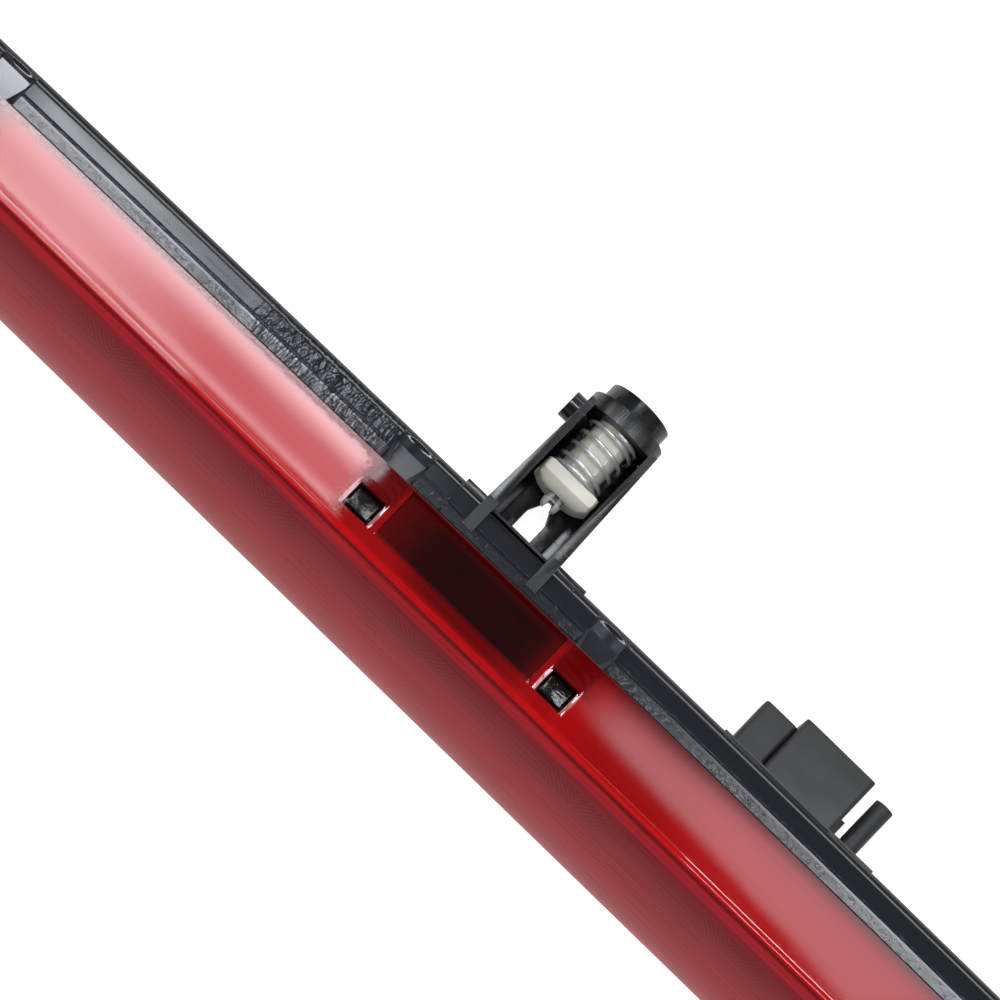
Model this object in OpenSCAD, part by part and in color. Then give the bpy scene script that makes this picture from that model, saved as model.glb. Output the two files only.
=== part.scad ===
// Third brake light: a long red lens on a black housing, with a row of LEDs inside.
// Two towers behind it hold sprung plungers that take the fixing screws.
// Frame: X along the lamp, -Y the way the light shines, +Y towards the vehicle, +Z up.
// Origin: the middle of the seating plane at the back, where y = 0.

/* [Lamp] */
// Overall length of the lamp
lamp_l = 484; // [476:1:488]
// Height of the lens over its two beads
lamp_h = 23; // [22.5:0.1:24]
// Distance from the seating plane to the front of the lens
lens_front = 40; // [39:0.5:42]
// Radius of the gentle bow of the housing, seen from above
bow_r = 15600; // [12000:200:30000]

/* [Lens] */
// Thickness of the lens walls
lens_wall = 2.2; // [1.8:0.1:2.4]
// Radius of the domed front face
dome_r = 26; // [25.5:0.1:26.5]
// Height of the beads along the top and bottom edges
bead_h = 0.2; // [0.1:0.05:0.3]
// Distance from the seating plane to the joint between lens and housing
joint_back = 9.75; // [9.5:0.05:10]
// Width of the windows that the snap hooks show in
window_w = 6.8; // [6.4:0.1:7.2]
// Depth of those windows, front to back
window_d = 6.1; // [5.8:0.1:6.4]
// Length of the recessed panel in front of each tower
panel_l = 42.4; // [38:0.2:44]

/* [Housing] */
// Thickness of the housing walls
wall = 1.8; // [1.6:0.1:2]
// Half height of the housing at the lens
band_front_z = 10.2; // [10:0.1:10.4]
// Half height of the housing at its back rim
band_back_z = 8.9; // [8.7:0.1:9.1]
// Distance from the middle of the lamp to each tower
tower_x = 86.4; // [84:0.2:88]
// Distance from a tower to the snap hooks on each side of it
hook_from_tower = 26.7; // [26:0.1:28]
// Distance from the middle to the outermost hooks
hook_end_x = 222.9; // [218:0.1:224]

/* [Spring towers] */
// Inside width of a tower
tower_in_w = 15; // [14.6:0.1:15.2]
// Outside width of a tower at its foot
tower_foot_w = 20.2; // [19.8:0.1:21]
// Diameter of the collar
collar_d = 18.2; // [18:0.1:18.6]
// Diameter of the tube at the end of a tower
tube_d = 14.9; // [14.5:0.1:15.3]
// Distance from the seating plane to the end of the tube
tube_end = 36.3; // [35.5:0.1:37.5]

/* [Plungers and springs] */
// Diameter of the plunger's shaft
shaft_d = 9.1; // [8.9:0.1:9.1]
// Diameter of the plunger's flange
flange_d = 13.7; // [13.4:0.1:14]
// Outside diameter of the spring
spring_d = 12.2; // [11.8:0.1:12.4]
// Diameter of the spring wire
wire_d = 0.9; // [0.8:0.1:1]
// Turns of the spring between its two ends
turns = 5.25; // [4.25:1:6.25]
// Diameter of the hole that the fixing screw cuts its thread in
screw_hole_d = 3.2; // [3:0.1:3.4]

/* [Lights] */
// Distance between LEDs
led_pitch = 42.7; // [42.5:0.1:43]
// Number of LEDs, an odd number so that one is in the middle
led_count = 11; // [9:2:11]

/* [Hidden] */
$fn = 64;
eps = 0.01;

// Lamp outline
half_l = lamp_l / 2;
half_h = lamp_h / 2;
plan_r = 16;
end_r = 5;
roof_z = half_h - bead_h;
dome_y = dome_r - lens_front;
dome_z = -roof_z + 0.26;
bow_steps = 12;

// Housing
rim_y = -0.35;
cavity_y = -4.3;
joint_y = -joint_back;
shoulder_y = joint_y + 0.35;
groove_y = -6.9;
groove_w = 0.6;
band_start_y = -2;
band_slope = atan((band_front_z - band_back_z) / (band_start_y - groove_y));
tongue_gap = 0.15;
tongue_z = roof_z - lens_wall - tongue_gap;
tongue_end_y = -16;
seal_y = -14.5;
seal_d = 1.2;
hook_w = 5.6;
hook_xs = [
    -hook_end_x, -tower_x - hook_from_tower, -tower_x + hook_from_tower,
    tower_x - hook_from_tower, tower_x + hook_from_tower, hook_end_x
];
window_back_y = -16.4;
screw_xs = [-4.5 * led_pitch, -1.5 * led_pitch, 1.5 * led_pitch, 4.5 * led_pitch];
boss_end_y = -14;

// Towers
pad_y = -1.2;
pad_in = 15.2;
pad_out = 17.4;
pad_z = 8;
cheek_z = 9.1;
cheek_end_y = 29;
ear_end_y = -8.2;
ear_z0 = 7.4;
ear_z1 = 10.6;
floor_t = 1.6;
collar_y0 = 29;
collar_y1 = 32.6;
bore_gap = 0.07;

// Plungers, which start with the flange on its stop
flange_y0 = 13.1;
nose_l = 1.8;
flange_y1 = 15.85;
shaft_end = 33.5;
socket_d = 5.2;
grommet_y1 = 24;
grommet_tip = 8.2;

// Connector, on a plate that lies in the housing's back
plate_x0 = -30;
plate_x1 = 10.8;
plate_z = 7.2;
plate_t = 1.2;
block_x0 = -19.6;
block_x1 = -0.8;
block_l = 13.5;
block_z = 6.6;
post_x = -23.75;
post_w = 8.4;
post_l = 11;
peg_x = 3.95;
peg_d = 4.5;
peg_l = 12.6;
pin_xs = [-13.2, -7.2];
seal_t = 1;
seat_y = -plate_t - seal_t;

// Board and optics
board_l = 444;
board_z = 6.2;
board_t = 1.2;
board_front = boss_end_y - board_t;
led_xs = [for (i = [0:led_count - 1]) (i - (led_count - 1) / 2) * led_pitch];
shield_y0 = -19.6;
optic_y0 = -21;

// How far the bow has carried the housing forward at x
function bow(x) = x * x / (2 * bow_r);

// Where the bow is drawn: evenly spaced places from one end of the lamp to the other
bow_xs = [for (i = [0:bow_steps]) (i / bow_steps - 0.5) * lamp_l];

// ---------- Shared shapes ----------

// A profile drawn in Y and Z, carried along X
module along_x(l) {
    rotate([90, 0, 90]) translate([0, 0, -l / 2]) linear_extrude(l) children();
}

// A shape drawn in X and Z, carried back along +Y from y0 for a distance of t
module along_y(y0, t) {
    translate([0, y0 + t, 0]) rotate([90, 0, 0]) linear_extrude(t) children();
}

// A closed outline of points in Y and Z, carried along the bow from end to end
module along_bow(outline) {
    n = len(outline);
    points = [for (x = bow_xs, p = outline) [x, p[0] - bow(x), p[1]]];
    sides = [
        for (i = [0:bow_steps - 1], j = [0:n - 1])
            [i * n + j, i * n + (j + 1) % n, (i + 1) * n + (j + 1) % n, (i + 1) * n + j]
    ];
    caps = [[for (j = [n - 1:-1:0]) j], [for (j = [0:n - 1]) bow_steps * n + j]];
    polyhedron(points, concat(sides, caps), convexity = 6);
}

// A rectangle centred on the origin, with round corners
module round_rect(w, h, r) {
    square([w - 2 * r, h], center = true);
    square([w, h - 2 * r], center = true);
    for (x = [-1, 1], y = [-1, 1]) translate([x * (w / 2 - r), y * (h / 2 - r)]) circle(r);
}

// A round bar along Y, from y0 to y1
module rod(x, y0, y1, r) {
    translate([x, y0, 0]) rotate([-90, 0, 0]) cylinder(r = r, h = y1 - y0);
}

// ---------- Lens and housing ----------

// The lens section in Y and Z, shrunk by inset all round, with no top or bottom yet
module lens_profile(inset) {
    low = -roof_z + inset;
    front = -lens_front + inset;
    intersection() {
        translate([dome_y, dome_z]) circle(dome_r - inset, $fn = 180);
        polygon([
            [1, low - 1], [front + 4.85, low - 1], [front + 0.8, low + 0.8], [front - 0.1, low + 2.6],
            [front - 1, low + 3], [front - 1, 1 - low], [1, 1 - low]
        ]);
    }
}

// The lens outline in X and Y, with round front corners
module lens_plan(inset) {
    w = lamp_l - 2 * inset;
    r = plan_r - inset;
    difference() {
        translate([-w / 2, -lens_front - 1]) square([w, lens_front + 2]);
        for (s = [0, 1]) mirror([s, 0]) difference() {
            translate([w / 2 - r, -lens_front - 2]) square([r + 1, plan_r + 2]);
            translate([half_l - plan_r, plan_r - lens_front]) circle(r);
        }
    }
}

// The lens as a solid block, shrunk by inset all round
module lens_block(inset) {
    intersection() {
        along_x(lamp_l) lens_profile(inset);
        linear_extrude(2 * lamp_h, center = true) lens_plan(inset);
        along_y(-lens_front - 5, lens_front + 10)
            round_rect(lamp_l - 2 * inset, 2 * roof_z - 2 * inset, end_r - inset);
    }
}

module outer_lens() {
    win_y = window_back_y - window_d / 2;
    panel_y1 = joint_y - 0.8;
    panel_y0 = -22.6;
    panel_drop = 1.3;
    color("firebrick") difference() {
        union() {
            difference() {
                lens_block(0);
                lens_block(lens_wall);
            }
            // Beads along the top and bottom edges of the front
            for (s = [-1, 1]) translate([0, -26.8, s * (roof_z - 0.5 + bead_h / 2)])
                cube([lamp_l - 2 * plan_r, 1.6, 1 + bead_h], center = true);
            // Raised frames round the windows
            for (x = hook_xs, s = [-1, 1])
                translate([x, win_y, s * (roof_z - 0.5 + 0.075)])
                    cube([window_w + 1.8, window_d + 1.6, 1.15], center = true);
        }
        // The open back edge, which follows the bow
        linear_extrude(2 * lamp_h, center = true)
            polygon(concat([for (x = bow_xs) [x * 1.001, joint_y - bow(x)]], [[half_l + 1, 9], [-half_l - 1, 9]]));
        // Windows for the snap hooks
        for (x = hook_xs, s = [-1, 1]) translate([x, win_y, s * roof_z])
            cube([window_w, window_d, 3 * lens_wall], center = true);
        // Sloping recessed panels in front of the towers, above only
        for (s = [-1, 1]) translate([s * tower_x, 0, roof_z])
            along_x(panel_l) polygon([[panel_y0, 0], [panel_y0, 1], [panel_y1, 1], [panel_y1, -panel_drop]]);
    }
}

module lens_seal() {
    color("dimgray") along_y(seal_y, seal_d) difference() {
        round_rect(lamp_l - 2 * lens_wall - 0.1, 2 * (roof_z - lens_wall) - 0.1, end_r - lens_wall);
        round_rect(lamp_l - 2 * lens_wall - 2, 2 * (roof_z - lens_wall) - 2, 1.8);
    }
}

// The upper half of the housing's outline in Y and Z, from the joint round to the rim
function upper_band() = [
    [shoulder_y, band_front_z], [groove_y - groove_w / 2, band_front_z],
    [groove_y - groove_w / 2, band_front_z - 0.4], [groove_y + groove_w / 2, band_front_z - 0.4],
    [groove_y + groove_w / 2, band_front_z], [band_start_y, band_back_z],
    [rim_y - 0.8, band_back_z], [rim_y - 0.2, band_back_z - 0.3], [rim_y, band_back_z - 0.9]
];

// Points above the middle plane, followed by their mirror images below it
function both_halves(upper) =
    concat(upper, [for (i = [len(upper) - 1:-1:0]) [upper[i][0], -upper[i][1]]]);

// The housing's shell, open at the front
module housing_shell() {
    in_front = band_front_z - wall;
    in_back = band_back_z - wall;
    intersection() {
        difference() {
            along_bow(both_halves(upper_band()));
            along_x(lamp_l - 2 * wall - 0.4) polygon(both_halves([
                [shoulder_y - 5, in_front], [groove_y, in_front - 0.2], [cavity_y, in_back]
            ]));
        }
        along_y(-20, 40) round_rect(lamp_l - 0.2, 2 * band_front_z + 0.3, end_r);
    }
}

// The tongue that goes inside the lens, with a groove for the seal
module tongue() {
    w = lamp_l - 2 * (lens_wall + tongue_gap);
    difference() {
        along_y(tongue_end_y, -5 - tongue_end_y) difference() {
            round_rect(w, 2 * tongue_z, end_r - lens_wall);
            round_rect(w - 2 * wall, 2 * (tongue_z - wall), 1.2);
        }
        along_y(seal_y, seal_d) difference() {
            square([lamp_l, lamp_h], center = true);
            round_rect(lamp_l - 2 * lens_wall - 2, 2 * (roof_z - lens_wall) - 2, 1.8);
        }
    }
}

// A snap hook above the middle plane at x: its tab and its catch
module hook(x) {
    catch_y = window_back_y - window_d + 1.2;
    translate([x - hook_w / 2, catch_y - 0.6, tongue_z - wall]) cube([hook_w, tongue_end_y - catch_y + 1.6, 1.5]);
    translate([x - hook_w / 2, catch_y, tongue_z - wall]) cube([hook_w, 4, 3.1]);
}

// A rib that stands proud of the sloping band at x
module band_rib(x) {
    rib_t = 0.6;
    rib_up = 0.35;
    translate([x - rib_t / 2, band_start_y - bow(x), band_back_z + rib_up])
        rotate([180 - band_slope, 0, 0]) cube([rib_t, band_start_y - groove_y + 0.3, 1.2]);
    translate([x - rib_t / 2, shoulder_y + 0.2 - bow(x), band_front_z + rib_up - 1])
        cube([rib_t, groove_y - shoulder_y, 1]);
}

// The scooped pocket behind a hook: a trough across the band
module scoop(x) {
    r = 13;
    translate([x, -9.4 - bow(x), band_front_z + r - 1.5]) rotate([-90 + 4, 0, 0]) cylinder(r = r, h = 8.2);
}

module housing() {
    pocket = 4.1;
    color("#2b2e31") difference() {
        union() {
            housing_shell();
            tongue();
            for (x = hook_xs, s = [0, 1]) mirror([0, 0, s]) {
                hook(x);
                for (side = [-1, 1]) band_rib(x + side * pocket);
            }
            for (x = [-1, 1], s = [0, 1]) mirror([0, 0, s]) band_rib(x * (tower_x + 15.2));
            for (x = screw_xs) rod(x, boss_end_y, -2, 3);
            // Thicker wall under the connector
            translate([(plate_x0 + plate_x1) / 2, -3.2, 0]) cube([46, 2.4, 15.6], center = true);
        }
        for (x = hook_xs, s = [0, 1]) mirror([0, 0, s]) scoop(x);
        for (x = screw_xs) rod(x, boss_end_y - eps, -5, 1.35);
        for (s = [0, 1]) mirror([s, 0, 0]) tower_seat();
        // Recess for the connector's plate, and the way through to the board
        translate([plate_x0, seat_y, -plate_z]) cube([plate_x1 - plate_x0, 5, 2 * plate_z]);
        translate([-27, -6, -5.2]) cube([26, 6, 10.4]);
    }
}

// What the left tower takes out of the housing
module tower_seat() {
    translate([-tower_x - pad_in, pad_y, -pad_z]) cube([pad_in + pad_out, 3, 2 * pad_z]);
    for (s = [-1, 1]) translate([-tower_x + s * (tower_in_w + tower_foot_w) / 4, ear_end_y / 2 + 1, ear_z0 + 2])
        cube([(tower_foot_w - tower_in_w) / 2, -ear_end_y + 2, 4], center = true);
    translate([-tower_x - tower_in_w / 2, -2.9, 4]) cube([tower_in_w, 4, 8]);
}

// ---------- Towers, plungers and springs ----------

// Side walls in plan, from a to b along Y, drawn narrower towards the collar
module cheeks(a, b) {
    foot = tower_foot_w / 2;
    head = collar_d / 2;
    slope = (foot - head) / cheek_end_y;
    for (s = [0, 1]) mirror([s, 0]) polygon([
        [tower_in_w / 2, a], [foot - slope * max(a, 0), a], [foot - slope * b, b], [tower_in_w / 2, b]
    ]);
}

// The left tower, standing on x = 0
module tower() {
    leg_r = 9;
    leg_up = 2.7;
    difference() {
        union() {
            // Foot plate, let into the housing's back
            translate([-pad_in, pad_y, -pad_z]) cube([pad_in + pad_out, -pad_y, 2 * pad_z]);
            translate([0, 0, -cheek_z]) linear_extrude(2 * cheek_z) cheeks(0, cheek_end_y + 0.5);
            translate([0, 0, ear_z0]) linear_extrude(ear_z1 - ear_z0) cheeks(ear_end_y, 0);
            translate([-tower_in_w / 2 - 0.5, 0, -cheek_z]) cube([tower_in_w + 1, cheek_end_y + 0.5, floor_t]);
            rod(0, collar_y0, collar_y1, collar_d / 2);
            rod(0, collar_y1 - 0.5, tube_end, tube_d / 2);
            // Legs that stop the plunger's flange
            for (s = [-1, 1]) translate([s * 4 - 1.4, -0.5, -cheek_z + 0.5])
                cube([2.8, flange_y0 - 0.05 + 0.5, leg_up]);
            // Rounded ear on the outer wall
            translate([-8.8, 27.1, 0]) rotate([0, -90, 0]) cylinder(r = 3.1, h = 2.8);
        }
        rod(0, collar_y0 - 1, tube_end + 1, shaft_d / 2 + bore_gap);
        rod(0, collar_y1 + 0.4, tube_end + 1, 6.1);
        // Window through the floor, wide at the foot and pointed behind
        translate([0, 0, -cheek_z - 1]) linear_extrude(4)
            polygon([[-2.4, 2.4], [2.4, 2.4], [2.4, 7.4], [0.4, 11.6], [-0.4, 11.6], [-2.4, 7.4]]);
        for (s = [-1, 1]) translate([s * (leg_r + 5), 7, -3.4]) cylinder(r = leg_r + 0.4, h = 3);
        // The way past the foot plate above the legs
        translate([-tower_in_w / 2, -4, 4]) cube([tower_in_w, 4 + eps, 5]);
    }
}

module left_spring_tower() {
    color("#26292c") translate([-tower_x, 0, 0]) tower();
}

module right_spring_tower() {
    color("#26292c") translate([tower_x, 0, 0]) mirror([1, 0, 0]) tower();
}

module plunger() {
    difference() {
        union() {
            intersection() {
                rod(0, flange_y0, flange_y1, flange_d / 2);
                translate([-10, 0, -10]) cube([20, 20, 15.6]);
            }
            translate([0, flange_y0 - nose_l, 0]) rotate([-90, 0, 0])
                cylinder(r1 = 3.2, r2 = 5.9, h = nose_l + eps);
            rod(0, flange_y1 - eps, shaft_end, shaft_d / 2);
        }
        rod(0, flange_y0 - nose_l - 1, shaft_end + 1, socket_d / 2);
        rod(0, grommet_y1 + 2, shaft_end + 1, 3.4);
    }
}

module left_plunger() {
    color("ivory") translate([-tower_x, 0, 0]) plunger();
}

module right_plunger() {
    color("ivory") translate([tower_x, 0, 0]) plunger();
}

// Points round the spring wire's section, for the ring at turn t
function wire_ring(t, y) = [
    for (j = [0:5])
        let (r = spring_d / 2 - wire_d / 2 + wire_d / 2 * cos(60 * j))
            [r * cos(360 * t), y + wire_d / 2 * sin(60 * j), r * sin(360 * t)]
];

// How far along its length the spring has climbed at turn t: flat ends and an even middle
function climb(t) =
    let (end = 0.9, n = turns, lie = wire_d * 1.05)
    t < end ? lie * t / end :
    t > n - end ? 1 * (coil_room - lie * (n - t) / end) :
    lie + (coil_room - 2 * lie) * (t - end) / (n - 2 * end);
coil_room = collar_y0 - flange_y1 - wire_d - 0.1;

module spring() {
    steps = 16;
    rings = floor(turns * steps);
    y0 = flange_y1 + wire_d / 2 + 0.05;
    points = [for (i = [0:rings]) each wire_ring(i / steps, y0 + climb(i / steps))];
    sides = [
        for (i = [0:rings - 1], j = [0:5])
            [i * 6 + j, i * 6 + (j + 1) % 6, (i + 1) * 6 + (j + 1) % 6, (i + 1) * 6 + j]
    ];
    caps = [[5, 4, 3, 2, 1, 0], [for (j = [0:5]) rings * 6 + j]];
    polyhedron(points, concat(sides, caps), convexity = 8);
}

module left_spring() {
    color("silver") translate([-tower_x, 0, 0]) spring();
}

module right_spring() {
    color("silver") translate([tower_x, 0, 0]) spring();
}

// Nylon grommet that the fixing screw bites into, with a split tip
module grommet() {
    tip_r = 2.4;
    shank_r = socket_d / 2 - 0.03;
    difference() {
        union() {
            rod(0, flange_y0 - 1.1, grommet_y1, shank_r);
            rod(0, grommet_tip, flange_y0 - 1, tip_r);
        }
        rod(0, flange_y0 - 1, grommet_y1 + 1, screw_hole_d / 2);
        rod(0, grommet_tip - 1, flange_y0, 1.1);
        translate([-0.6, grommet_tip - 1, -5]) cube([1.2, 4, 10]);
    }
}

module left_grommet() {
    color("gainsboro") translate([-tower_x, 0, 0]) grommet();
}

module right_grommet() {
    color("gainsboro") translate([tower_x, 0, 0]) grommet();
}

// ---------- Connector ----------

module connector_header() {
    shell = 1.4;
    block_w = block_x1 - block_x0;
    mid = (block_x0 + block_x1) / 2;
    color("#1f2123") difference() {
        union() {
            translate([plate_x0, -plate_t, -plate_z]) cube([plate_x1 - plate_x0, plate_t, 2 * plate_z]);
            translate([mid, 0, 0]) along_y(-eps, block_l) round_rect(block_w, 2 * block_z, 1.2);
            translate([post_x, 0, 0]) along_y(-eps, post_l) round_rect(post_w, post_w, 1.4);
            rod(peg_x, -eps, peg_l, peg_d / 2);
            translate([peg_x - 2.25, -eps, -0.6]) cube([1, 8.5, 1.2]);
            translate([block_x1 - 0.5, -eps, -1.2]) cube([1.6, 4.5, 2.4]);
        }
        translate([mid, 0, 0]) along_y(1.6, block_l)
            round_rect(block_w - 2 * shell, 2 * (block_z - shell), 0.8);
        rod(post_x, -5, post_l + 1, 2.6);
        for (x = pin_xs) terminal(x);
    }
}

// A flat blade in the socket, with a narrow pin that runs on to the board
module terminal(x) {
    translate([x - 1.4, -0.9, -0.4]) cube([2.8, 10.9, 0.8]);
    translate([x - 0.5, boss_end_y, -0.4]) cube([1, -boss_end_y, 0.8]);
}

module connector_terminals() {
    color("tan") for (x = pin_xs) terminal(x);
}

module connector_seal() {
    color("#3b3b3b") along_y(seat_y, seal_t) translate([(plate_x0 + plate_x1) / 2, 0]) difference() {
        round_rect(plate_x1 - plate_x0 - 0.6, 2 * plate_z - 0.6, 1.5);
        translate([-28 - (plate_x0 + plate_x1) / 2, -5.6]) square([28, 11.2]);
    }
}

module breather_membrane() {
    color("white") rod(post_x, 4, 4.5, 2.58);
}

// ---------- Board and optics ----------

module led_board() {
    color("darkgreen") along_y(board_front, board_t) difference() {
        round_rect(board_l, 2 * board_z, 1);
        for (x = screw_xs) translate([x, 0]) circle(1.6);
    }
}

// A chip on the front of the board
module chip(x, z, w, h, t) {
    translate([x - w / 2, board_front - t, z - h / 2]) cube([w, t, h]);
}

module leds() {
    color("lightyellow") for (x = led_xs) {
        chip(x, 0, 3.5, 2.8, 1.4);
        rod(x, board_front - 1.9, board_front - 1.39, 1.1);
    }
}

module resistors() {
    color("black") for (i = [0:led_count - 2], z = [-2.4, 2.4])
        chip(led_xs[i] + led_pitch * 0.3, z, 3.2, 1.6, 0.6);
}

module capacitors() {
    color("peru") for (x = [-18, -14]) chip(x, -2.6, 2, 1.25, 1.1);
}

module diode() {
    color("#333333") chip(-16, 2.4, 4.3, 3.6, 2.2);
}

module board_screws() {
    color("silver") for (x = screw_xs) difference() {
        union() {
            rod(x, board_front - 1.7, board_front, 2.6);
            rod(x, board_front - eps, -6, 1.3);
        }
        translate([x - 1.5, board_front - 2, -0.3]) cube([3, 1.1, 0.6]);
        translate([x - 0.3, board_front - 2, -1.5]) cube([0.6, 1.1, 3]);
    }
}

module light_shield() {
    w = board_l - 2;
    h = 2 * board_z - 0.2;
    color("#202020") difference() {
        along_y(shield_y0, board_front - shield_y0) round_rect(w, h, 1);
        along_y(shield_y0 + 1.2, 10) round_rect(w - 2.4, h - 2.4, 0.5);
        for (x = led_xs) rod(x, shield_y0 - 1, shield_y0 + 3, 3.4);
    }
}

// A clear strip with a lens in front of each LED
module inner_optic() {
    cap_r = 11;
    cap_up = 2.6;
    color("lightcoral") {
        along_y(optic_y0, shield_y0 - optic_y0) round_rect(board_l - 2, 11.6, 1);
        for (x = led_xs) intersection() {
            translate([x, optic_y0 - cap_up + cap_r, 0]) sphere(cap_r);
            translate([x - 7, optic_y0 - cap_up - 1, -5.6]) cube([14, cap_up + 1.3, 11.2]);
        }
    }
}

housing();
outer_lens();
lens_seal();
left_spring_tower();
right_spring_tower();
left_plunger();
right_plunger();
left_spring();
right_spring();
left_grommet();
right_grommet();
connector_header();
connector_terminals();
connector_seal();
breather_membrane();
led_board();
leds();
resistors();
capacitors();
diode();
board_screws();
light_shield();
inner_optic();
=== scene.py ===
"""Looks of a third brake light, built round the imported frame.

A red lens is snapped on a bowed black housing. Two towers behind it hold sprung plungers that take
the fixing screws, and a connector stands between them. Each sub-assembly is a class that builds its
meshes with numpy and dresses them. Lengths in the classes are millimetres, in the frame's axes:
X along the lamp, -Y the way the light shines, +Z up. Meshes are written in metres.
"""

import logging
import math
from collections.abc import Callable
from dataclasses import dataclass
from enum import Enum

import bmesh
import bpy
import numpy as np
from mathutils import Matrix, Vector


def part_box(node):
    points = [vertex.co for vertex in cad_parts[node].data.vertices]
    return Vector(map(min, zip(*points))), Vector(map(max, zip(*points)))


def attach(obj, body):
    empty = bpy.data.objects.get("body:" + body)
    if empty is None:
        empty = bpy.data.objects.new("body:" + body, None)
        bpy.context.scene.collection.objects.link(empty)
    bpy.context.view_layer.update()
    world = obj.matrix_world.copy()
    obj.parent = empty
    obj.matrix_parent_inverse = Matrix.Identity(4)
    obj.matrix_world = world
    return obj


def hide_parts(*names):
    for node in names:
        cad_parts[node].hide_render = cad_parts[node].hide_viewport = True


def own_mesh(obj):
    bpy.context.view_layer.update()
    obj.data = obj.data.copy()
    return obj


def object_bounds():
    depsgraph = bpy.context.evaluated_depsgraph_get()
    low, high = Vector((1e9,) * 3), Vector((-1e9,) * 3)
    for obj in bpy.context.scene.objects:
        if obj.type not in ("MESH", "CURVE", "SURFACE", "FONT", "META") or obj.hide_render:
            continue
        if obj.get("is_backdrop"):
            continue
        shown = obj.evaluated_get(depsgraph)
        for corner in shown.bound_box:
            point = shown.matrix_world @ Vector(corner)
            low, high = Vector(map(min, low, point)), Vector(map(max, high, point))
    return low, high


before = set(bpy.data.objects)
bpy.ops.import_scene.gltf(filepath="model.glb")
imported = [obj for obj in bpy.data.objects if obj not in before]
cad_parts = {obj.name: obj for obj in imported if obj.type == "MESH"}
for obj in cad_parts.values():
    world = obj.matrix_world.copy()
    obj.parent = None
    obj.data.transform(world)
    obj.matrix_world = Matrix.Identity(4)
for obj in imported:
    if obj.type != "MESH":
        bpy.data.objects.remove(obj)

MM = 0.001
WELD = 0.0005
EDGE_STEPS = 3
LIGHT_PITCH = 42.7
NO_LIMIT = 9.0
TINY = 1e-3
Array = np.ndarray
Colour = tuple[float, float, float]
GroupMaker = Callable[[], bpy.types.NodeTree]
SHARED: dict[GroupMaker, bpy.types.NodeTree] = {}
log = logging.getLogger("brake_light")


class Body(Enum):
    """The bodies that pieces ride on."""

    LAMP = "lamp"
    LEFT = "left_plunger_set"
    RIGHT = "right_plunger_set"


class Side(Enum):
    """The two ends of the lamp, with the sign of X there."""

    LEFT = -1
    RIGHT = 1

    @property
    def word(self) -> str:
        """The side's name as the nodes spell it."""
        return self.name.lower()

    @property
    def body(self) -> Body:
        """The body that this side's plunger rides on."""
        return Body.LEFT if self is Side.LEFT else Body.RIGHT

    @property
    def joint(self) -> str:
        """The joint that this side's plunger slides on."""
        return f"{self.word}_plunger_slide"


# ---------- Shapes as arrays ----------


def smooth(value: Array, start: float, end: float) -> Array:
    """An even S curve from 0 at start to 1 at end: 3t squared less 2t cubed.

    Args:
        value: Where the curve is read.
        start: Value at which the curve leaves 0.
        end: Value at which it reaches 1. It may be below start.

    Returns:
        The curve's height at each value.
    """
    t = np.clip((value - start) / (end - start), 0, 1)
    return t * t * (3 - 2 * t)


def plateau(value: Array, centre: float, half: float, edge: float) -> Array:
    """One within half of centre and zero outside, with soft edges.

    Args:
        value: Where the plateau is read.
        centre: Middle of the plateau.
        half: Half its width.
        edge: Width of each soft edge, which lies inside the half width.

    Returns:
        The plateau's height at each value.
    """
    return smooth(np.abs(value - centre), half, half - edge)


def round_max(a: Array, b: Array, radius: Array | float) -> Array:
    """The larger of a and b, with the crease where they cross filled to a radius.

    Args:
        a: First surface.
        b: Second surface.
        radius: How far from the crease the filling starts.

    Returns:
        The larger value, plus the square of the overlap over four radii near the crease.
    """
    r = np.maximum(radius, 1e-6)
    h = np.maximum(r - np.abs(a - b), 0)
    return np.maximum(a, b) + h * h / (4 * r)


def stations(breaks: list[float], step: float) -> Array:
    """Places that include every break and are nowhere further apart than step.

    Args:
        breaks: Places that must be there, in any order.
        step: Longest gap allowed.

    Returns:
        The places in rising order.
    """
    marks = np.unique(np.round(np.array(breaks, float), 4))
    runs = [
        np.linspace(a, b, max(math.ceil((b - a) / step), 1), endpoint=False)
        for a, b in zip(marks[:-1], marks[1:])
    ]
    return np.append(np.concatenate(runs), marks[-1])


def arc(centre: tuple[float, float], radius: float, start: float, end: float, count: int) -> Array:
    """Points on an arc, its angle in degrees from the first axis towards the second.

    Args:
        centre: Middle of the circle.
        radius: Its radius.
        start: First angle.
        end: Last angle.
        count: Number of points.

    Returns:
        A count by 2 array.
    """
    t = np.radians(np.linspace(start, end, count))
    return np.stack([centre[0] + radius * np.cos(t), centre[1] + radius * np.sin(t)], -1)


def grid_quads(rows: int, cols: int, wrap_rows: bool = False, wrap_cols: bool = False) -> Array:
    """The quads of a grid of points stored row by row.

    Args:
        rows: Number of rows.
        cols: Points in a row.
        wrap_rows: Whether the last row joins the first.
        wrap_cols: Whether each row's last point joins its first.

    Returns:
        An array of quads shaped as the grid's cells, by 4.
    """
    i = np.arange(rows if wrap_rows else rows - 1)[:, None]
    j = np.arange(cols if wrap_cols else cols - 1)[None, :]
    below = (i + 1) % rows
    right = (j + 1) % cols
    corners = [i * cols + j, i * cols + right, below * cols + right, below * cols + j]
    return np.stack(np.broadcast_arrays(*corners), -1)


def signed_volume(points: Array, polygons: list[Array]) -> float:
    """Six times the volume inside closed polygons.

    Args:
        points: The points, in rows of 3.
        polygons: Arrays of point numbers, one array for each number of corners.

    Returns:
        The value, negative if the polygons face inwards.
    """
    total = 0.0
    for group in polygons:
        first = points[group[:, 0]]
        for k in range(1, group.shape[1] - 1):
            crossed = np.cross(points[group[:, k]], points[group[:, k + 1]])
            total += float(np.einsum("ij,ij->", first, crossed))
    return total


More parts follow.
